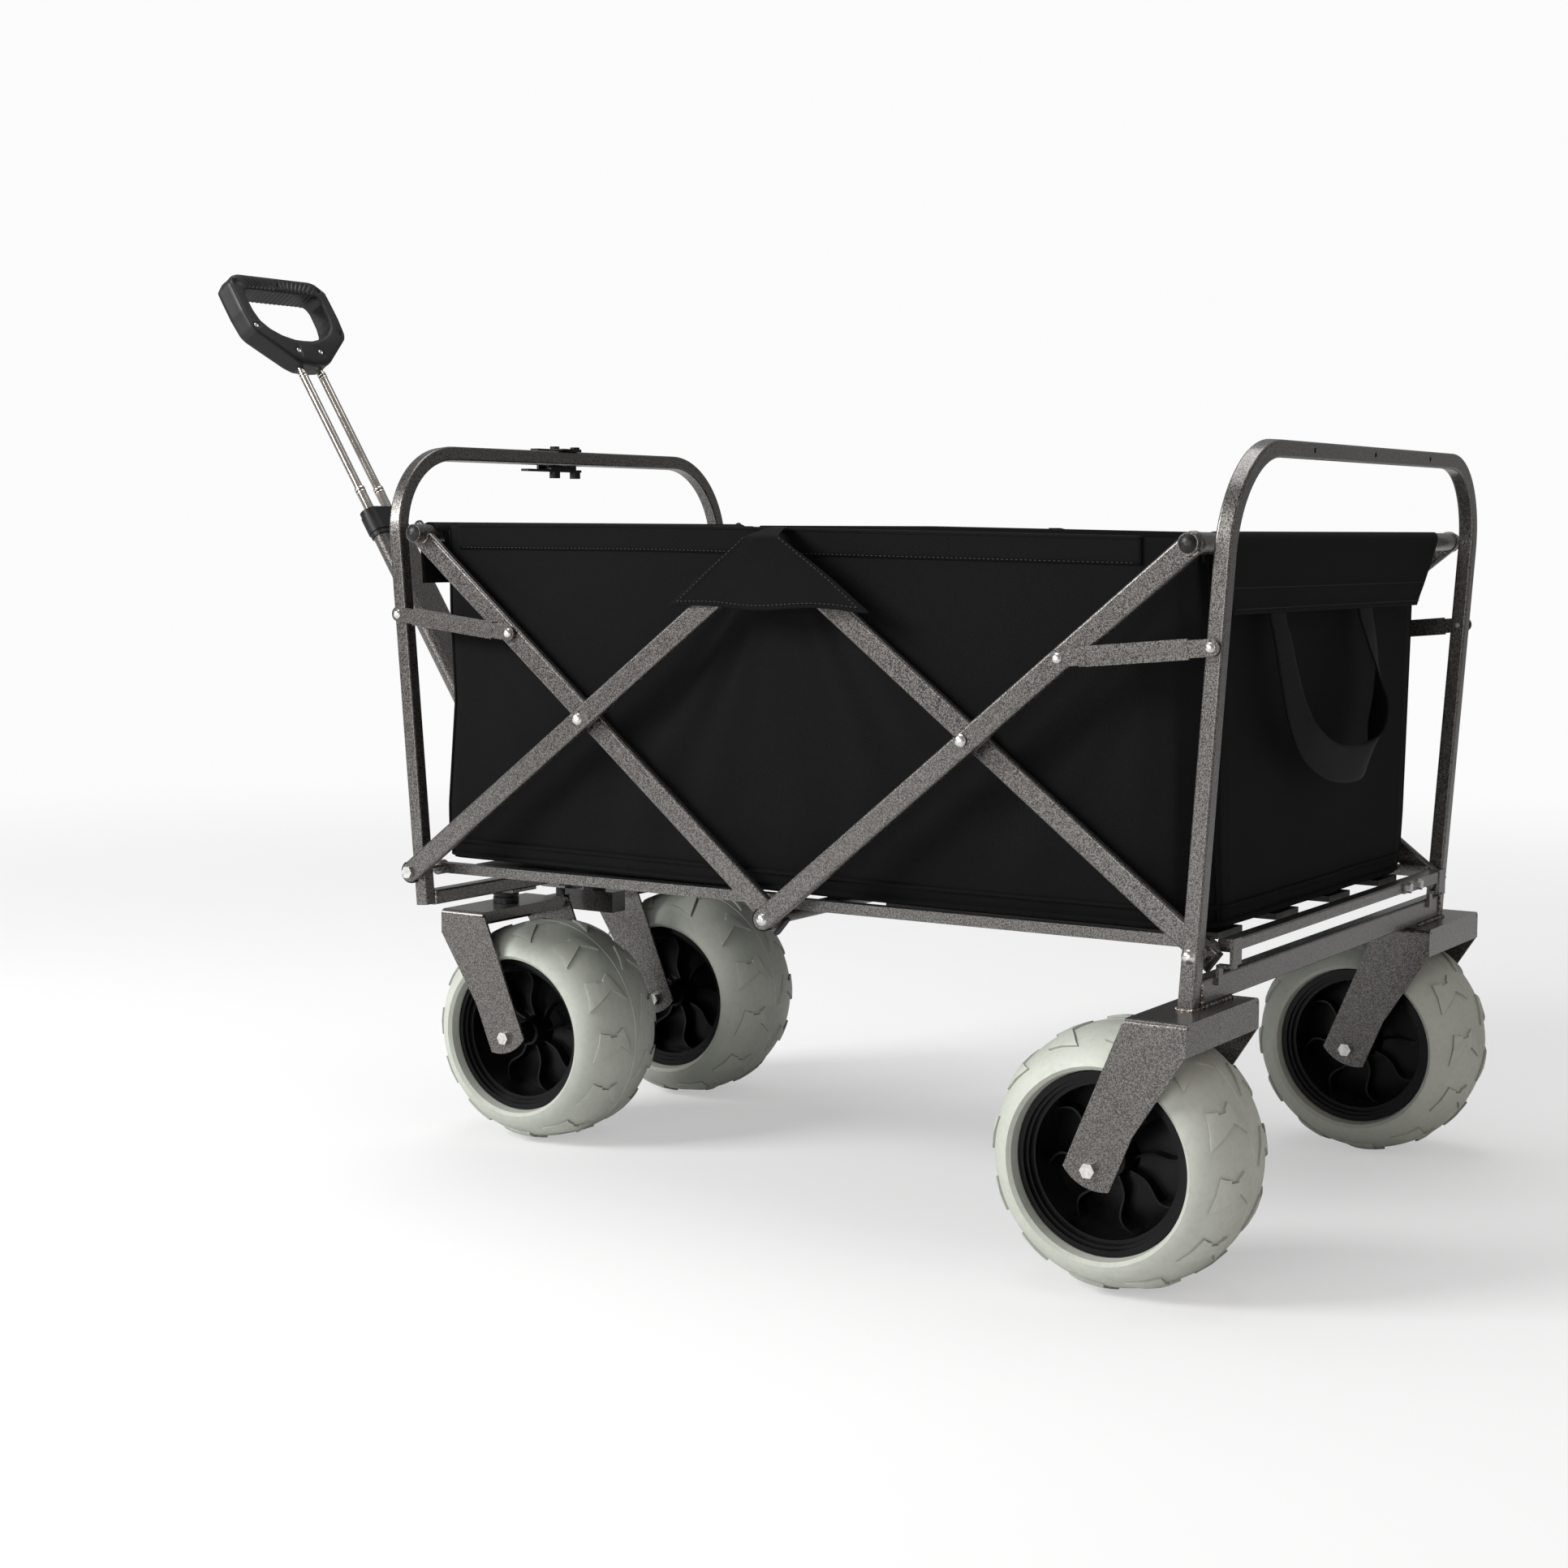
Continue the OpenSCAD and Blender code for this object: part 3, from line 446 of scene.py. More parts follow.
def outline(t, z):
    """Point on the outline at share t of the way round, starting in the middle of the front."""
    xf, xr, yr, yf = ring(z)
    c = 52.0
    pts = [(xf, 0), (xf, -yf + 12), (xf + 3.5, -yf + 3.5), (xf + 12, -yf), (xr - 62, -yf), (xr - 30, -yf + 5), (xr - 10, -(yr + 14)), (xr - 1.5, -yr + 4), (xr, -yr + 22),
           (xr, yr - 22), (xr - 1.5, yr - 4), (xr - 10, yr + 14), (xr - 30, yf - 5), (xr - 62, yf), (xf + 12, yf), (xf + 3.5, yf - 3.5), (xf, yf - 12), (xf, 0)]
    # shares of each stretch are fixed, so that the loft's columns line up
    base = [0, .098, .1, .102, .36, .374, .388, .4, .41, .59, .6, .612, .626, .64, .898, .9, .902, 1.0]
    for i in range(len(base) - 1):
        if t <= base[i + 1]:
            k = (t - base[i]) / (base[i + 1] - base[i])
            x = pts[i][0] + (pts[i + 1][0] - pts[i][0]) * k
            y = pts[i][1] + (pts[i + 1][1] - pts[i][1]) * k
            return x, y
    return pts[-1]


def wrinkle(x, z, side):
    """Sideways movement of a side panel, outward positive, in mm."""
    top = top_z(x)
    f = min(1.0, (top - z) / 60.0) * min(1.0, (z - bottom_z(x)) / 45.0)
    s = 3.0 * side
    w = 0.0
    # pulls that fan out from where the flap and the bars hold the cloth
    for cx, cz, spread, a0, amp in ((463, 700, 0.30, -2.15, 3.4), (463, 700, 0.26, -0.95, 3.6), (8, 700, 0.22, -0.75, 2.4), (925, 690, 0.2, -2.2, 2.6)):
        dx, dz = x - cx, z - cz
        r = math.hypot(dx, dz)
        a = math.atan2(dz, dx)
        w += amp * math.exp(-((a - a0) / spread) ** 2) * math.sin(a * 26 + nz(r * 0.006, s) * 2.0) * min(1, r / 120) * math.exp(-r / 520)
    w += 2.6 * nz(x * 0.0085 + s, z * 0.0042, 1.5 + s) * f
    w += 1.5 * math.sin(x * 0.058 + 3.0 * nz(x * 0.004, z * 0.004, s)) * max(0.0, 1 - (z - bottom_z(x)) / 230.0) * f * (1.3 if 330 < x < 560 else 0.5)
    w += 0.5 * nz(x * 0.03, z * 0.03, s)
    belly = 3.2 * math.sin(math.pi * min(1, max(0, (z - 335) / 365.0))) - 3.0
    return w * (0.25 + 0.75 * f) + belly


def wall(t, v):
    # v 0 is the bottom, 1 the top
    x, y = outline(t, 334 + 366 * v)
    zb, zt = bottom_z(x), top_z(x)
    z = zb + (zt - zb) * v
    x, y = outline(t, z)
    if .1 < t < .375 or .625 < t < .9:
        side = -1 if t < .5 else 1
        k = min(1, (x - 40) / 60, (880 - x) / 60)
        y += side * wrinkle(x, z, side) * max(0, k)
    elif .41 <= t <= .59:
        k = min(1, (t - .41) / .03, (.59 - t) / .03)
        x += k * (2.0 * nz(y * 0.008, z * 0.004, 9) - 1.2 * math.sin(math.pi * v)) - 0.4
        x += k * 1.0 * math.sin(y * 0.03 + 2 * nz(z * 0.01, 3)) * (1 - v) * 0.6
    elif t < .098 or t > .902:
        k = 1.0
        x -= k * (2.5 * math.sin(math.pi * v) + 2.0 * nz(y * 0.007, z * 0.005, 5))
    # cloth turns in slightly at the bottom seam
    if v < 0.06:
        q = (1 - v / 0.06) ** 2 * 2.6
        x += q * (1 if x < 300 else (-1 if x > 860 else 0))
        y -= q * (1 if y > 0 else -1) * (1 if abs(y) > 230 else 0)
    return P(x, y, z)


PERIM = 2 * (0.9 + 0.6)


def bag_shell():
    nu, nv = ((440, 84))
    ts = []
    walls = grid("bag_walls", nu, nv, wall, MAT["fabric"], closed_u=True, uvfn=lambda u, v: (u * PERIM, v * 0.365))

    def floor(u, v):
        # closes the loft, edge taken from the wall's bottom ring
        t = u
        e = wall(t, 0.0)
        c = P(470, 0, 337)
        k = v
        p = e.lerp(Vector((e.x * (1 - k) + c.x * k, e.y * (1 - k), c.z)), 1.0)
        # ribs of the slats below lift it a little
        p.z = e.z * (1 - k) ** 3 + (c.z + 0.0) * (1 - (1 - k) ** 3) + 0.0006 * nz(p.x * 30, p.y * 30)
        p.z = max(p.z, P(0, 0, bottom_z((p.x + XC) * 1000)).z + 0.0003)
        return p

    base = grid("bag_floor_t", nu, 24, floor, MAT["fabric"], closed_u=True, uvfn=lambda u, v: ((1 - v) * math.cos(2 * math.pi * u) * 0.45, (1 - v) * math.sin(2 * math.pi * u) * 0.3))
    sh = merge("bag_shell", [walls, base])
    bm = bmesh.new()
    bm.from_mesh(sh.data)
    bmesh.ops.remove_doubles(bm, verts=bm.verts, dist=0.00002)
    bmesh.ops.recalc_face_normals(bm, faces=bm.faces)
    bm.to_mesh(sh.data)
    bm.free()
    md = sh.modifiers.new("thick", "SOLIDIFY")
    md.thickness = 0.0016
    md.offset = -1
    bake(sh)
    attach(sh, "bag")
    return sh


shell = bag_shell()
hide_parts("fabric_bag")


def along_wall(v, out, t0=0.0, t1=1.0, n=300):
    pts = []
    for i in range(n + 1):
        t = t0 + (t1 - t0) * i / n
        p = wall(t, v)
        a = wall(max(0, t - 0.001), v)
        b = wall(min(1, t + 0.001), v)
        d = (b - a)
        nrm = Vector((d.y, -d.x, 0))
        nrm = nrm.normalized() if nrm.length > 0 else Vector((0, 0, 0))
        c = p - P(470, 0, p.z * 1000)
        if nrm.dot(Vector((c.x, c.y, 0))) < 0:
            nrm = -nrm
        pts.append(p + nrm * out)
    return pts


bag_parts = [shell]
# piping along the bottom seam and a second, lower binding
pipe = tube("bag_piping", along_wall(0.052, 0.0012)[:-1], 0.0021, MAT["fabric"], 8, closed=True, body="bag")
pipe2 = tube("bag_binding", along_wall(0.008, 0.0004)[:-1], 0.0026, MAT["fabric"], 8, closed=True, body="bag")
bag_parts += [pipe, pipe2]


def band(name, v0, v1, out, t0, t1, n=200, edge=0.0012):
    """A doubled hem band on the wall between heights v0 and v1, with a rolled lower edge."""
    rows = 6
    lines = [along_wall(v0 + (v1 - v0) * k / rows, out * (0.35 if k in (0,) else 1.0), t0, t1, n) for k in range(rows + 1)]

    def fn(u, v):
        return lines[round(v * rows)][round(u * n)]
    return grid(name, n, rows, fn, MAT["fabric"], thick=edge, body="bag", uvfn=lambda u, v: (u * (t1 - t0) * PERIM, v * 0.03), offset=1)


hemL = band("bag_top_hem_left", 0.93, 1.0, 0.0010, .104, .36)
hemR = band("bag_top_hem_right", 0.93, 1.0, 0.0010, .64, .896)
bag_parts += [hemL, hemR]
for k, (t0, t1) in enumerate(((.104, .36), (.64, .896))):
    roll = tube("bag_top_roll_%d" % k, along_wall(0.998, 0.0006, t0, t1, 160), 0.0024, MAT["fabric"], 8, body="bag")
    bag_parts.append(roll)


# seams down the four corners
def corner_seam(k, t, out):
    pts = []
    for i in range(60):
        v = 0.01 + 0.975 * i / 59
        p = wall(t, v)
        c = (p - P(470, 0, 0))
        pts.append(p + Vector((c.x, c.y, 0)).normalized() * out)
    o = tube("bag_corner_seam_%d" % k, pts, 0.0016, MAT["fabric"], 6, body="bag")
    bag_parts.append(o)


for k, t in enumerate((.1, .395, .605, .9)):
    corner_seam(k, t, 0.0006)


def stitches(name, pts, pitch=0.0036, length=0.0022, r=0.00042, out=Vector((0, 0, 0))):
    """A row of thread stitches along points."""
    vs, fs = [], []
    pts = [Vector(p) + out for p in pts]
    d = [0.0]
    for a, b in zip(pts, pts[1:]):
        d.append(d[-1] + (b - a).length)

    def at(s):
        i = max(0, min(len(d) - 2, np.searchsorted(d, s) - 1))
        k = (s - d[i]) / max(1e-9, d[i + 1] - d[i])
        return pts[i].lerp(pts[i + 1], min(1, max(0, k)))
    s = 0.0
    while s + length < d[-1]:
        a, b = at(s), at(s + length)
        t = (b - a).normalized()
        x = t.cross(Vector((0.3, 0.5, 0.8))).normalized()
        y = t.cross(x)
        base = len(vs)
        for q, rr in ((0.0, 0.35), (0.3, 1.0), (0.7, 1.0), (1.0, 0.35)):
            c = a.lerp(b, q)
            for g in range(4):
                an = math.pi / 2 * g
                vs.append(c + (x * math.cos(an) + y * math.sin(an)) * r * rr)
        for q in range(3):
            for g in range(4):
                i0 = base + q * 4 + g
                i1 = base + q * 4 + (g + 1) % 4
                fs.append((i0, i1, i1 + 4, i0 + 4))
        fs.append((base + 3, base + 2, base + 1, base))
        fs.append((base + 12, base + 13, base + 14, base + 15))
        s += pitch
    o = make(name, vs, fs, MAT_THREAD, body="bag")
    bag_parts.append(o)
    return o


stitches("stitch_hem_left", along_wall(0.935, 0.0026, .106, .358, 300), 0.005, 0.003)
stitches("stitch_hem_right", along_wall(0.935, 0.0026, .642, .894, 300), 0.005, 0.003)


# ---- hems over the two carrying tubes
def hem_over(name, xc, zc, r, path, ycen, y_of, n_y=90, amp=0.8, seed=0.0):
    """A sheet laid over a tube. path is (x, z) down the section, y_of(s) the half widths (low y, high y) at share s."""
    pts = path
    L = [0.0]
    for a, b in zip(pts, pts[1:]):
        L.append(L[-1] + math.hypot(b[0] - a[0], b[1] - a[1]))

    def fn(u, v):
        s = v * L[-1]
        i = max(0, min(len(L) - 2, int(np.searchsorted(L, s)) - 1))
        k = (s - L[i]) / (L[i + 1] - L[i])
        x = pts[i][0] + (pts[i + 1][0] - pts[i][0]) * k
        z = pts[i][1] + (pts[i + 1][1] - pts[i][1]) * k
        y0, y1, dz = y_of(v)
        y = y0 + (y1 - y0) * u
        loose = min(1, max(0, (v - 0.45) / 0.4))
        x += amp * loose * (nz(y * 0.012 + seed, z * 0.02) * 1.6 + 0.5 * math.sin(y * 0.021 + seed))
        z += dz(y) * loose if dz else 0
        return P(x, y, z)
    return grid(name, n_y, len(pts) * 2, fn, MAT["fabric"], thick=0.0014, body="bag", uvfn=lambda u, v: (u * 0.6, v * L[-1] / 1000), offset=1)


def arc(cx, cz, r, a0, a1, n=14):
    return [(cx + r * math.cos(math.radians(a0 + (a1 - a0) * i / n)), cz + r * math.sin(math.radians(a0 + (a1 - a0) * i / n))) for i in range(n + 1)]


def rear_y(v):
    # wide on the tube, narrower at the lower edge
    k = max(0.0, (v - 0.30) / 0.70)
    if v < 0.05:
        return -282, 282, None
    w = 306 - 2 * k
    return -(306 - 18 * k), 308 - 90 * k ** 0.9, (lambda y: -3.8 - 0.0042 * y)


rear_path = [(920.2, 668)] + arc(930.5, 692, 11.0, 175, 4, 18) + [(942.3, 685), (942.6, 670), (942.2, 655), (942.0, 642), (942.4, 629.5)]
rear_hem = hem_over("bag_rear_hem", 930.5, 692, 11, rear_path, 0, rear_y, seed=2.0)
front_path = [(26.5, 664)] + arc(8, 697, 11.0, 10, 180, 18) + [(-3.4, 686), (-3.8, 674), (-3.4, 662), (-3.0, 651), (-3.6, 641)]


def front_y(v):
    k = max(0.0, (v - 0.5) / 0.5)
    w = (297 if v < 0.3 else 307.5) - 5 * k * k
    return -w, w, (lambda y: 1.5 * math.sin(y * 0.017))


front_hem = hem_over("bag_front_hem", 8, 697, 11, front_path, 0, front_y, seed=5.0, amp=1.3)
bag_parts += [rear_hem, front_hem]


def edge_line(z, y0, y1, x, n=160):
    return [P(x + 0.0, y0 + (y1 - y0) * i / n, z - 3.8 - 0.0042 * (y0 + (y1 - y0) * i / n)) for i in range(n + 1)]


stitches("stitch_rear_hem_low", edge_line(634.5, -284, 222, 944.4), 0.005, 0.003)
stitches("stitch_rear_hem_high", edge_line(654, -290, 236, 944.2), 0.005, 0.003)


# ---- side flaps over the top pivots
def flap(side):
    # apex at the top edge, wavy lower edge
    left, right, apexL, apexR, zt = 351.0, 590.0, 456.0, 472.0, 705.0

    def low(x):
        return 624.5 + 1.8 * math.sin((x - 351) * 0.045) + 1.2 * nz(x * 0.02, side)

    def edges(z):
        k = (zt - z) / (zt - 622.0)
        return apexL + (left - apexL) * k, apexR + (right - apexR) * k

    def fn(u, v):
        zl = 706.5
        x0, x1 = edges(zt - (zt - 622) * v)
        x = x0 + (x1 - x0) * u
        z = zt + (low(x) - zt) * v
        if v < 0.05:
            z += 1.0
        # it starts on the bag's edge, bulges over the pivot and hangs clear of the bars
        t = min(1.0, v / 0.13)
        y = 303.5 + (341.6 - 303.5) * (math.sin(t * math.pi / 2) ** 0.9)
        y += 1.0 * math.sin(u * 9 + v * 3) * min(1, v * 2) * 0.5 + 1.2 * nz(x * 0.02, z * 0.02, 4 * side) * v
        ridge = math.exp(-((x - 463 - (zt - z) * 0.10) / 16) ** 2)
        y += 1.2 * ridge * (1 - v) * min(1, v * 6)
        return P(x, side * y, z)
    nm = "flap_left" if side < 0 else "flap_right"
    o = grid(nm, 60, 36, fn, MAT["fabric"], thick=0.0016, body="bag", uvfn=lambda u, v: (u * 0.2, v * 0.1), offset=side * -1.0)
    bag_parts.append(o)
    lo = [fn(i / 80, 0.94) + Vector((0, side * 0.0016, 0)) for i in range(81)]
    stitches("stitch_" + nm, lo[2:-2], 0.005, 0.003)
    for q, uu in enumerate((0.03, 0.97)):
        pts = [fn(uu, j / 40) + Vector((0, side * 0.0016, 0)) for j in range(5, 39)]
        stitches("stitch_%s_%d" % (nm, q), pts, 0.005, 0.003)
    return o


fl, fr = flap(-1), flap(1)
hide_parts("side_flaps")
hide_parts("side_flaps")


# ---- webbing loop on the back
def webbing():
    # centre line in (y, z) with the tape's facing turned along the way
    ctrl = [(-171, 648, 937.6), (-171, 620, 939.6), (-170, 600, 944.6), (-161, 562, 949), (-143, 526, 951.5), (-114, 498, 953.5), (-64, 478, 954.5), (-13, 471, 954.5), (34, 472, 954), (63, 484, 953), (78, 510, 952), (85, 537, 951), (77, 566, 950), (69, 597, 945.0), (67, 620, 939.6), (67, 648, 937.6)]
    tw = [0, 0, 0, 0.05, 0.12, 0.2, 0.15, 0.1, 0.2, 0.6, 0.95, 0.75, 0.4, 0.15, 0, 0]
    n = 130

    def cr(a, b, c, d, t):
        return 0.5 * ((2 * b) + (-a + c) * t + (2 * a - 5 * b + 4 * c - d) * t * t + (-a + 3 * b - 3 * c + d) * t ** 3)
    pts, tws = [], []
    for i in range(n + 1):
        s = i / n * (len(ctrl) - 1)
        k = min(len(ctrl) - 2, int(s))
        t = s - k
        q = [max(0, k - 1), k, k + 1, min(len(ctrl) - 1, k + 2)]
        y, z, x = (cr(*[ctrl[j][c] for j in q], t) for c in (0, 1, 2))
        pts.append(P(x, y, z))
        tws.append(cr(*[tw[j] for j in q], t))
    W = 0.019
    L = [0.0]
    for a, b in zip(pts, pts[1:]):
        L.append(L[-1] + (b - a).length)

    def fn(u, v):
        i = round(v * n)
        p = pts[i]
        a = pts[max(0, i - 1)]
        b = pts[min(n, i + 1)]
        t = (b - a).normalized()
        nx = Vector((1, 0, 0))
        w = nx.cross(t).normalized()
        ang = tws[i] * 0.9
        w2 = w * math.cos(ang) + nx * math.sin(ang)
        q = (u - 0.5) * 2
        out = p + w2 * (q * W) + nx * 0.0006 * math.cos(q * 1.5)
        lim = P(936.4, 0, 0).x
        if out.x < lim:
            out.x = lim + (out.x - lim) * 0.1
        return out
    o = grid("webbing_strap", 10, n, fn, MAT_WEB, thick=0.0018, body="bag", uvfn=lambda u, v: (u * 0.038, v * L[-1]), offset=0)
    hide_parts("webbing_loop")
    return o, L[-1]


strap, strap_len = webbing()
bag_parts.append(strap)


# ------------------------------------------------------------------ tyres
def tyre_profile():
    """(w, r) across the tyre in mm, from one rim edge to the other."""
    pts = []
    R = 124.6
    for i in range(49):
        a = math.pi * i / 48
        c, s = math.cos(a), math.sin(a)
        w = -73.0 * math.copysign(abs(c) ** 0.92, c)
        r = 77 + (R - 77) * abs(s) ** 0.84
        pts.append((w, r))
    mid = [p for p in pts if p[1] >= 90]
    lo = [(-52.0, 86.2), (-60, 87.2), (-67.5, 88.6)]
    hi = [(67.5, 88.6), (60, 87.2), (52.0, 86.2)]
    return lo + mid + hi


PROF = tyre_profile()


def prof_r(w):
    mid = [p for p in PROF[3:-3]]
    for (w0, r0), (w1, r1) in zip(mid, mid[1:]):
        if w0 <= w <= w1:
            return r0 + (r1 - r0) * (w - w0) / (w1 - w0)
    return mid[0][1]


def tyre(node, ax, yc, body, ph):
    cx, cy, cz = P(ax, yc, 127)
    N = 180
    vs, fs, uvs = [], [], []
    n = len(PROF)

    def at(ang, w, r):
        return Vector((cx + r / 1000 * math.cos(ang), cy + w / 1000, cz + r / 1000 * math.sin(ang)))
    for k in range(N):
        a = 2 * math.pi * k / N
        for j, (w, r) in enumerate(PROF):
            q = 0.0
            if abs(w) < 1.6:
                q = -0.0
            vs.append(at(a, w, r + q))
            uvs.append((a * 0.127, w / 1000))
    for k in range(N):
        for j in range(n - 1):
            a = k * n + j
            b = ((k + 1) % N) * n + j
            fs.append((a, a + 1, b + 1, b))
        # inner seat, closes the ring
        a = k * n
        b = ((k + 1) % N) * n
        fs.append((a, b, b + n - 1, a + n - 1))

    # faces of the lug side walls, which get the darker rubber: painted shade
    edge = []

    # lugs: each is a raised arrow, given by a front edge and a notched back edge
    def lug(ang0, side, flip):
        ws = [8, 15.5, 23, 27, 30.5, 31.5, 40.5, 41.5, 47, 52, 54.5, 58]
        front = [-11, 4.8, 21.7, 18.5, 16.5, 13.0, 13.0, 16.5, 17.5, 19.7, 3.0, -17]
        back = [-13.5, -7.8, -2.5, 0.5, -2.0, -2.6, -7.8, -8.4, -11.6, -14.5, -16.0, -19]
        h = 2.5
        base = len(vs)
        E = 7
        per = E + 3
        for i, w in enumerate(ws):
            r = prof_r(side * w)
            r0, r1 = prof_r(side * max(0, w - 2)), prof_r(side * min(70, w + 2))
            sl = (r1 - r0) / 4.0
            nl = math.hypot(1, sl)
            fr_, bk_ = front[i] - 0.55, back[i] + 0.55
            row = [(front[i], -0.6)] + [(fr_ + (bk_ - fr_) * e / E, h * (0.8 if i in (0, len(ws) - 1) else 1)) for e in range(E + 1)] + [(back[i], -0.6)]
            for off, hh in row:
                g = ang0 + flip * off / 127.0
                vs.append(at(g, side * (w - hh * sl / nl), r + hh / nl))
                uvs.append((g * 0.127, w / 1000))
        m = len(ws)
        for i in range(m - 1):
            b0, b1 = base + i * per, base + (i + 1) * per
            for e in range(per):
                e2 = (e + 1) % per
                if e in (0, per - 2):
                    edge.append(len(fs))
                fs.append((b0 + e, b0 + e2, b1 + e2, b1 + e))
        edge.extend((len(fs), len(fs) + 1))
        fs.append(tuple(base + e for e in range(per)))
        fs.append(tuple(base + (m - 1) * per + e for e in range(per))[::-1])
    cnt = 12
    for k in range(cnt):
        lug(2 * math.pi * k / cnt + ph, 1, 1)
        lug(2 * math.pi * (k + 0.5) / cnt + ph, -1, 1)
    # fine parting ridge round the middle
    base = len(vs)
    for k in range(N):
        a = 2 * math.pi * k / N
        for w, r in ((-0.7, 124.4), (0, 125.05), (0.7, 124.4)):
            vs.append(at(a, w, r))
            uvs.append((a * 0.127, w / 1000))
    for k in range(N):
        a = base + k * 3
        b = base + ((k + 1) % N) * 3
        fs += [(a, a + 1, b + 1, b), (a + 1, a + 2, b + 2, b + 1), (a + 2, a, b, b + 2)]
    o = make(node + "_treaded", vs, fs, MAT["tyre"], uvs)
    bm = bmesh.new()
    bm.from_mesh(o.data)
    bmesh.ops.recalc_face_normals(bm, faces=bm.faces)
    bm.to_mesh(o.data)
    bm.free()
    o.data.polygons.foreach_set("use_smooth", [True] * len(o.data.polygons))
    o.data.set_sharp_from_angle(angle=math.radians(38))
    # second slot, the darker rubber on the lug walls: painted shade
    o.data.materials.append(MAT_LUG_WALL_SHADE)
    for i in edge:
        o.data.polygons[i].material_index = 1
    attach(o, body)
    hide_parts(node)
    return o


tyre("tyre_rear_left", 866, -326.6, "wheel_rear_left", 0.12)
tyre("tyre_rear_right", 866, 326.6, "wheel_rear_right", 0.31)
tyre("tyre_front_left", 44.5, -146.3, "wheel_front_left", 0.22)
tyre("tyre_front_right", 44.5, 146.3, "wheel_front_right", 0.05)


# ------------------------------------------------------------------ hand grip
def grip():
    lean = math.radians(57.34)
    ds = Vector((-math.cos(lean), 0, math.sin(lean)))
    dn = Vector((math.sin(lean), 0, math.cos(lean)))
    base = P(-50.3, 0, 280) + ds * 0.0178
    outer = [(857, 66), (854.5, 75), (842, 88), (800, 88.5), (775, 86), (768, 82), (730, 34), (724, 22), (722, 0)]
    inner = [(834, 58), (831, 65), (823, 69), (800, 68), (786, 64), (774, 52), (766, 36), (761.5, 16), (761, 0)]

    def poly(p, top):
        q = [(top, 0)] + p
        return q + [(a, -b) for a, b in q[-2:0:-1]]
    po, pi = poly(outer, 857), poly(inner, 834)
    c0 = (799.0, 0.0)

    def cast(pl, ang):
        dx, dy = math.cos(ang), math.sin(ang)
        best = None
        for (x0, y0), (x1, y1) in zip(pl, pl[1:] + pl[:1]):
            ex, ey = x1 - x0, y1 - y0
            det = dx * (-ey) + ex * dy
            if abs(det) < 1e-9:
                continue
            rx, ry = x0 - c0[0], y0 - c0[1]
            t = (rx * (-ey) + ex * ry) / det
            k = (dx * ry - dy * rx) / det
            if t > 0 and -1e-6 <= k <= 1 + 1e-6 and (best is None or t < best):
                best = t
        return c0[0] + dx * best, c0[1] + dy * best
    N, M = 720, 64
    raw_o = [cast(po, 2 * math.pi * i / N) for i in range(N)]
    raw_i = [cast(pi, 2 * math.pi * i / N) for i in range(N)]

    def smooth(r, k):
        for _ in range(k):
            r = [((r[i - 1][0] + 2 * r[i][0] + r[(i + 1) % N][0]) / 4, (r[i - 1][1] + 2 * r[i][1] + r[(i + 1) % N][1]) / 4) for i in range(N)]
        return r
    raw_o, raw_i = smooth(raw_o, 5), smooth(raw_i, 10)
    vs, fs, uvs = [], [], []
    for i in range(N):
        (so, yo), (si, yi) = raw_o[i], raw_i[i]
        ms, my = (so + si) / 2, (yo + yi) / 2
        hs, hy = (so - si) / 2, (yo - yi) / 2
        hw = math.hypot(hs, hy)
        for j in range(M):
            q = 2 * math.pi * j / M
            c, sn = math.cos(q), math.sin(q)
            e = 0.30
            a = math.copysign(abs(c) ** e, c)
            b = math.copysign(abs(sn) ** e, sn)
            nrm = 13.9 * b
            k = a
            S, Y = ms + hs * k, my + hy * k
            dep = 0.0
            # grooves on both faces of the top bar
            if abs(b) > 0.9 and 836 < S < 849 and 10 < abs(Y) < 60:
                g = (abs(Y) + (S - 842) * 0.32) % 7.4
                f = max(0.0, 1 - abs(g - 3.7) / 1.5)
                edge = min(1.0, (S - 836) / 1.5, (849 - S) / 1.5)
                dep = 1.3 * min(1.0, f * 1.6) * max(0, edge)
            # recessed pad round the rods' screws
            if b > 0.9:
                for hs_, hy_ in ((844, 77), (845.5, 0), (777, 77), (743, 20)):
                    rr = math.hypot(S - hs_, abs(Y) - hy_)
                    if rr < 4.6:
                        dep = max(dep, 1.5 * min(1.0, (4.6 - rr) / 0.8))
            nrm -= math.copysign(dep, nrm)
            # finger ribs under the top bar
            if a < -0.9 and si > 820 and abs(yi) < 60:
                f = math.sin(yi * 2 * math.pi / 8.0)
                kk = 1.0 + (0.9 * max(0.0, f)) / hw
                S, Y = ms - hs * kk, my - hy * kk
            # parting line between the shells
            if abs(nrm) < 0.9 and a > 0.9:
                S, Y = ms + hs * (1 - 0.5 / hw), my + hy * (1 - 0.5 / hw)
            p = base + ds * (S / 1000) + Vector((0, Y / 1000, 0)) + dn * (nrm / 1000)
            vs.append(p)
            uvs.append((i / N * 0.6, j / M * 0.1))
    for i in range(N):
        for j in range(M):
            a = i * M + j
            b = i * M + (j + 1) % M
            c = ((i + 1) % N) * M + (j + 1) % M
            d = ((i + 1) % N) * M + j
            fs.append((a, b, c, d))
    o = make("grip_shells", vs, fs, MAT_GRIP, uvs)
    bm = bmesh.new()
    bm.from_mesh(o.data)
    bmesh.ops.recalc_face_normals(bm, faces=bm.faces)
    bm.to_mesh(o.data)
    bm.free()
    o.data.set_sharp_from_angle(angle=math.radians(42))
    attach(o, "handle_stage_3")
    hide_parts("grip")
    return o


def grip_frame():
    lean = math.radians(57.34)
    ds = Vector((-math.cos(lean), 0, math.sin(lean)))
    dn = Vector((math.sin(lean), 0, math.cos(lean)))
    return P(-50.3, 0, 280) + ds * 0.0178, ds, dn


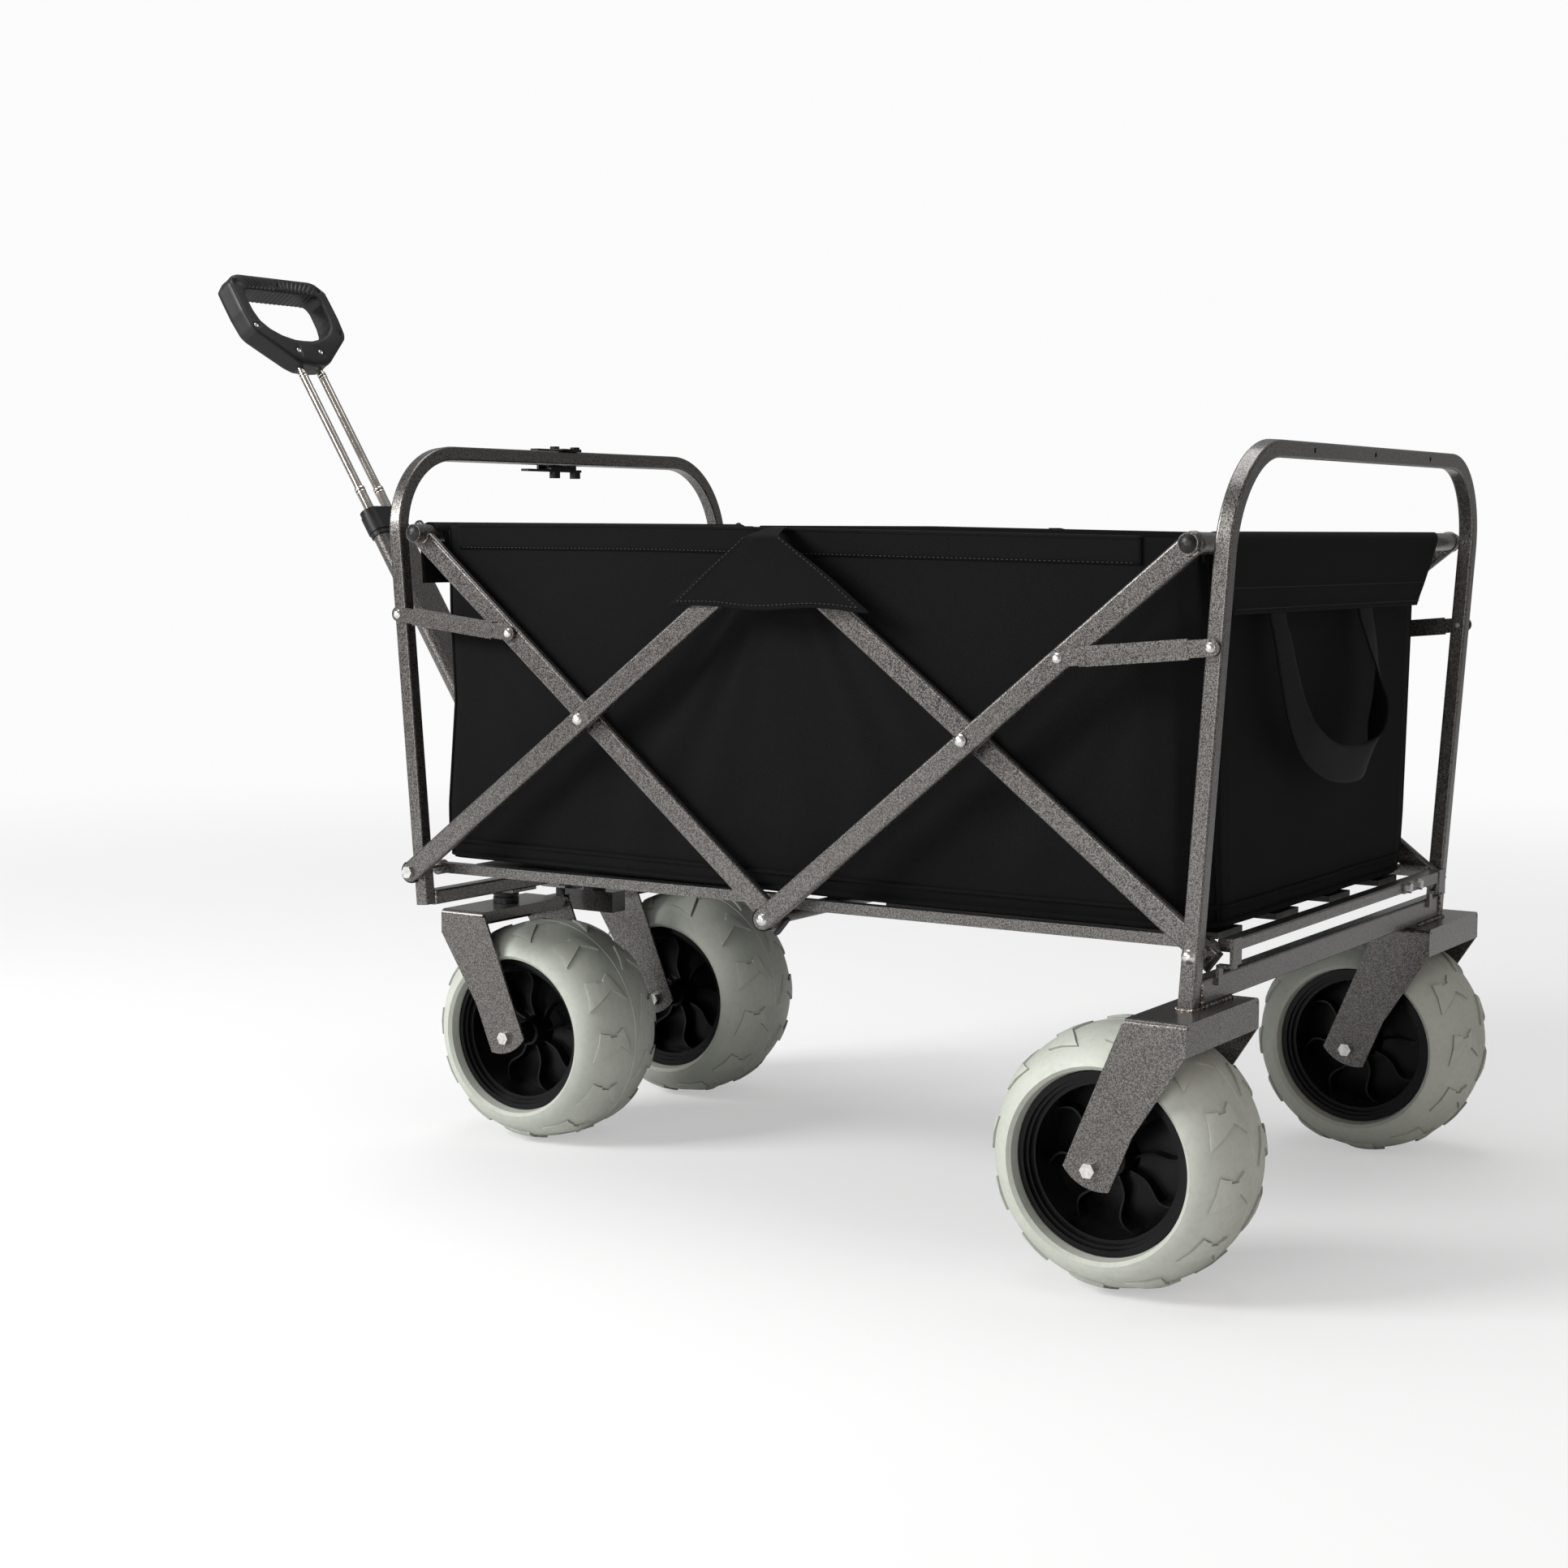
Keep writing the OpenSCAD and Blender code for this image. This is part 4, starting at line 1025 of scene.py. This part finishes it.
def lathe_at(name, places, mat, body, sides=28, loop=False):
    """Turned pieces: places = [(origin, axis, [(r, h), ...])], closed at both ends, or rings."""
    vs, fs = [], []
    for c, ax, prof in places:
        u = ax.cross(Vector((0.2, 1, 0.1))).normalized()
        w = ax.cross(u)
        b = len(vs)
        for r, h in prof:
            for q in range(sides):
                a = 2 * math.pi * q / sides
                vs.append(c + ax * (h / 1000) + (u * math.cos(a) + w * math.sin(a)) * (r / 1000))
        for i in range(len(prof) - 1):
            for q in range(sides):
                a, d = b + i * sides + q, b + i * sides + (q + 1) % sides
                fs.append((a, d, d + sides, a + sides))
        if loop:
            e = b + (len(prof) - 1) * sides
            for q in range(sides):
                d = (q + 1) % sides
                fs.append((e + q, e + d, b + d, b + q))
            continue
        fs.append(tuple(b + q for q in range(sides))[::-1])
        fs.append(tuple(b + (len(prof) - 1) * sides + q for q in range(sides)))
    return make(name, vs, fs, mat, body=body)


def screws():
    base, ds, dn = grip_frame()
    head = [(3.5, 12.42), (3.5, 13.2), (3.1, 13.6), (1.5, 13.78), (1.4, 13.2), (0.5, 13.1)]
    dark, bright = [], []
    for S, Y in ((844, 77), (844, -77), (777, 77), (777, -77), (845.5, 0), (743, 20), (743, -20)):
        c = base + ds * (S / 1000) + Vector((0, Y / 1000, 0))
        (bright if S == 743 or (S, Y) == (777, -77) else dark).append((c, dn, head))
    a = lathe_at("grip_screws_plated", bright, MAT["steel"], "handle_stage_3")
    b = lathe_at("grip_screws_black", dark, MAT_HUB, "handle_stage_3")
    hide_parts("grip_screws")
    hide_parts("grip_screws")
    # rolled necks where one rod leaves the next
    for tag, body, S, r in (("lower", "handle_stage_1", 544, 6.2), ("middle", "handle_stage_2", 718.5, 5.2)):
        pl, dk = [], []
        for k in (-1, 1):
            c = base + Vector((0, k * 0.0175, 0))
            pl.append((c, ds, [(r - 0.3, S - 8.4), (r + 0.42, S - 7.8), (r + 0.42, S - 6.3), (r - 0.3, S - 5.7)]))
            pl.append((c, ds, [(r - 0.3, S - 4.3), (r + 0.4, S - 3.7), (r + 0.4, S - 1.1), (r - 0.3, S - 0.4)]))
            # dark ring in the gap between the two neck rings: painted shade
            dk.append((c, ds, [(r - 0.3, S - 5.7), (r + 0.09, S - 5.65), (r + 0.09, S - 4.35), (r - 0.3, S - 4.3)]))
        lathe_at("rod_neck_" + tag, pl, MAT["chrome"], body, loop=True)
        lathe_at("rod_groove_" + tag, dk, MAT_PAINTED_SHADE, body, loop=True)


MAT_GRIP = plastic_mat("grip_plastic", 0.006, 0.0105, 0.44, 0.34)
grip()

# ------------------------------------------------------------------ weld beads
screws()


def bead(name, pts, r, body, seed=1):
    """A rippled weld bead along points."""
    g = random.Random(seed)
    vs, fs = [], []
    pts = [Vector(p) for p in pts]
    d = [0.0]
    for a, b in zip(pts, pts[1:]):
        d.append(d[-1] + (b - a).length)
    n = max(6, int(d[-1] / (r * 0.45)))
    prev = None
    sides = 10
    for i in range(n + 1):
        s = d[-1] * i / n
        j = max(0, min(len(d) - 2, int(np.searchsorted(d, s)) - 1))
        k = (s - d[j]) / max(1e-9, d[j + 1] - d[j])
        p = pts[j].lerp(pts[j + 1], min(1, max(0, k)))
        t = (pts[j + 1] - pts[j]).normalized()
        x = t.cross(Vector((0.31, 0.2, 0.9))).normalized()
        y = t.cross(x)
        end = math.sqrt(max(0.05, min(1, i / 2.0, (n - i) / 2.0)))
        rr = r * end * (1.0 + 0.22 * math.sin(i * 1.9) + 0.18 * (g.random() - 0.5))
        for q in range(sides):
            a = 2 * math.pi * q / sides
            vs.append(p + (x * math.cos(a) + y * math.sin(a)) * rr)
    for i in range(n):
        for q in range(sides):
            a = i * sides + q
            b = i * sides + (q + 1) % sides
            fs.append((a, b, b + sides, a + sides))
    fs.append(tuple(range(sides))[::-1])
    fs.append(tuple(n * sides + q for q in range(sides)))
    return make(name, vs, fs, MAT_WELD, body=body)


for s, tag in ((-1, "left"), (1, "right")):
    px, py, h = 929.0, s * 340, 8.6
    loop = [(px - h, py - h), (px + h, py - h), (px + h, py + h), (px - h, py + h), (px - h, py - h)]
    bead("weld_post_" + tag, [P(x, y, 270.0) for x, y in loop], 0.0021, "rear_frame", 3 + s)
    bead("weld_bar_foot_" + tag, [P(938.4, s * 331.0, 270.6), P(938.4, s * 262.0, 270.6)], 0.0022, "rear_frame", 9 + s)
    bead("weld_bar_end_" + tag, [P(938.4, s * 331.6, 272), P(938.4, s * 331.6, 295)], 0.0020, "rear_frame", 14 + s)
    bead("weld_front_bar_" + tag, [P(10.2, s * 303.9, 287), P(10.2, s * 303.9, 301), P(-5.5, s * 303.9, 302.6)], 0.0018, "front_frame", 21 + s)
    bead("weld_top_tube_front_" + tag, [P(8 + 10.4 * math.cos(a), s * 321.3, 697 + 10.4 * math.sin(a)) for a in [math.radians(v) for v in range(200, 361, 20)]], 0.0016, "front_bars", 31 + s)
    bead("weld_top_tube_rear_" + tag, [P(930.5 + 10.4 * math.cos(a), s * 357.9, 692 + 10.4 * math.sin(a)) for a in [math.radians(v) for v in range(170, 341, 20)]], 0.0016, "rear_outer_bars", 41 + s)

# ------------------------------------------------------------------ own mesh copies for the soft parts
for o in bag_parts:
    if o is front_hem:
        continue  # the front hem stays round its tube
    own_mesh(o)


# ------------------------------------------------------------------ floor and light
def stage():
    # pale floor that fades into the backdrop with distance
    m = bpy.data.materials.new("studio_floor")
    m.use_nodes = True
    t = m.node_tree
    t.nodes.clear()
    N = t.nodes.new
    out, dif, em, mx = N("ShaderNodeOutputMaterial"), N("ShaderNodeBsdfDiffuse"), N("ShaderNodeEmission"), N("ShaderNodeMixShader")
    dif.inputs[0].default_value = (0.80, 0.80, 0.80, 1)
    lp, tc, ln, mr = N("ShaderNodeLightPath"), N("ShaderNodeTexCoord"), N("ShaderNodeVectorMath"), N("ShaderNodeMapRange")
    ln.operation = "LENGTH"
    t.links.new(tc.outputs["Object"], ln.inputs[0])
    t.links.new(ln.outputs["Value"], mr.inputs[0])
    mr.interpolation_type = "SMOOTHSTEP"
    for i, v in ((1, 0.5), (2, 4.5), (3, 0.45), (4, 1.0)):
        mr.inputs[i].default_value = v
    mu = N("ShaderNodeMath")
    mu.operation = "MULTIPLY"
    t.links.new(mr.outputs[0], mu.inputs[0])
    t.links.new(lp.outputs["Is Camera Ray"], mu.inputs[1])
    em.inputs[1].default_value = 0.97
    t.links.new(mu.outputs[0], mx.inputs[0])
    t.links.new(dif.outputs[0], mx.inputs[1])
    t.links.new(em.outputs[0], mx.inputs[2])
    t.links.new(mx.outputs[0], out.inputs[0])
    me = bpy.data.meshes.new("floor")
    me.from_pydata([(-30, -30, 0), (30, -30, 0), (30, 30, 0), (-30, 30, 0)], [], [(0, 1, 2, 3)])
    me.materials.append(m)
    ob = bpy.data.objects.new("floor", me)
    scene.collection.objects.link(ob)
    w = bpy.data.worlds.new("studio")
    scene.world = w
    w.use_nodes = True
    t = w.node_tree
    bg = t.nodes["Background"]
    bg.inputs[0].default_value = (1.0, 1.0, 1.0, 1)
    wl = t.nodes.new("ShaderNodeLightPath")
    wr = t.nodes.new("ShaderNodeMapRange")
    t.links.new(wl.outputs["Is Camera Ray"], wr.inputs[0])
    wr.inputs[3].default_value = 0.27
    wr.inputs[4].default_value = 0.97
    t.links.new(wr.outputs[0], bg.inputs[1])

    def area(name, loc, target, size, power, color=(1, 1, 1)):
        L = bpy.data.lights.new(name, "AREA")
        L.shape = "RECTANGLE"
        L.size, L.size_y = size
        L.energy = power
        L.color = color
        o = bpy.data.objects.new(name, L)
        scene.collection.objects.link(o)
        o.location = loc
        o.rotation_euler = (Vector(target) - Vector(loc)).to_track_quat("-Z", "Y").to_euler()
    area("key", (-2.4, -3.4, 2.6), (0.1, 0, 0.4), (1.9, 1.6), 234)
    area("top", (-0.2, 0.3, 3.6), (0.1, 0, 0.3), (2.4, 2.4), 66)
    area("side", (0.6, -3.6, 0.9), (0.2, 0, 0.4), (1.6, 1.4), 34)
    area("rear_warm", (3.2, -0.4, 1.4), (0.5, 0, 0.4), (1.0, 1.4), 6, (1.0, 0.72, 0.64))


stage()
scene.view_settings.view_transform = "Standard"
scene.view_settings.look = "None"
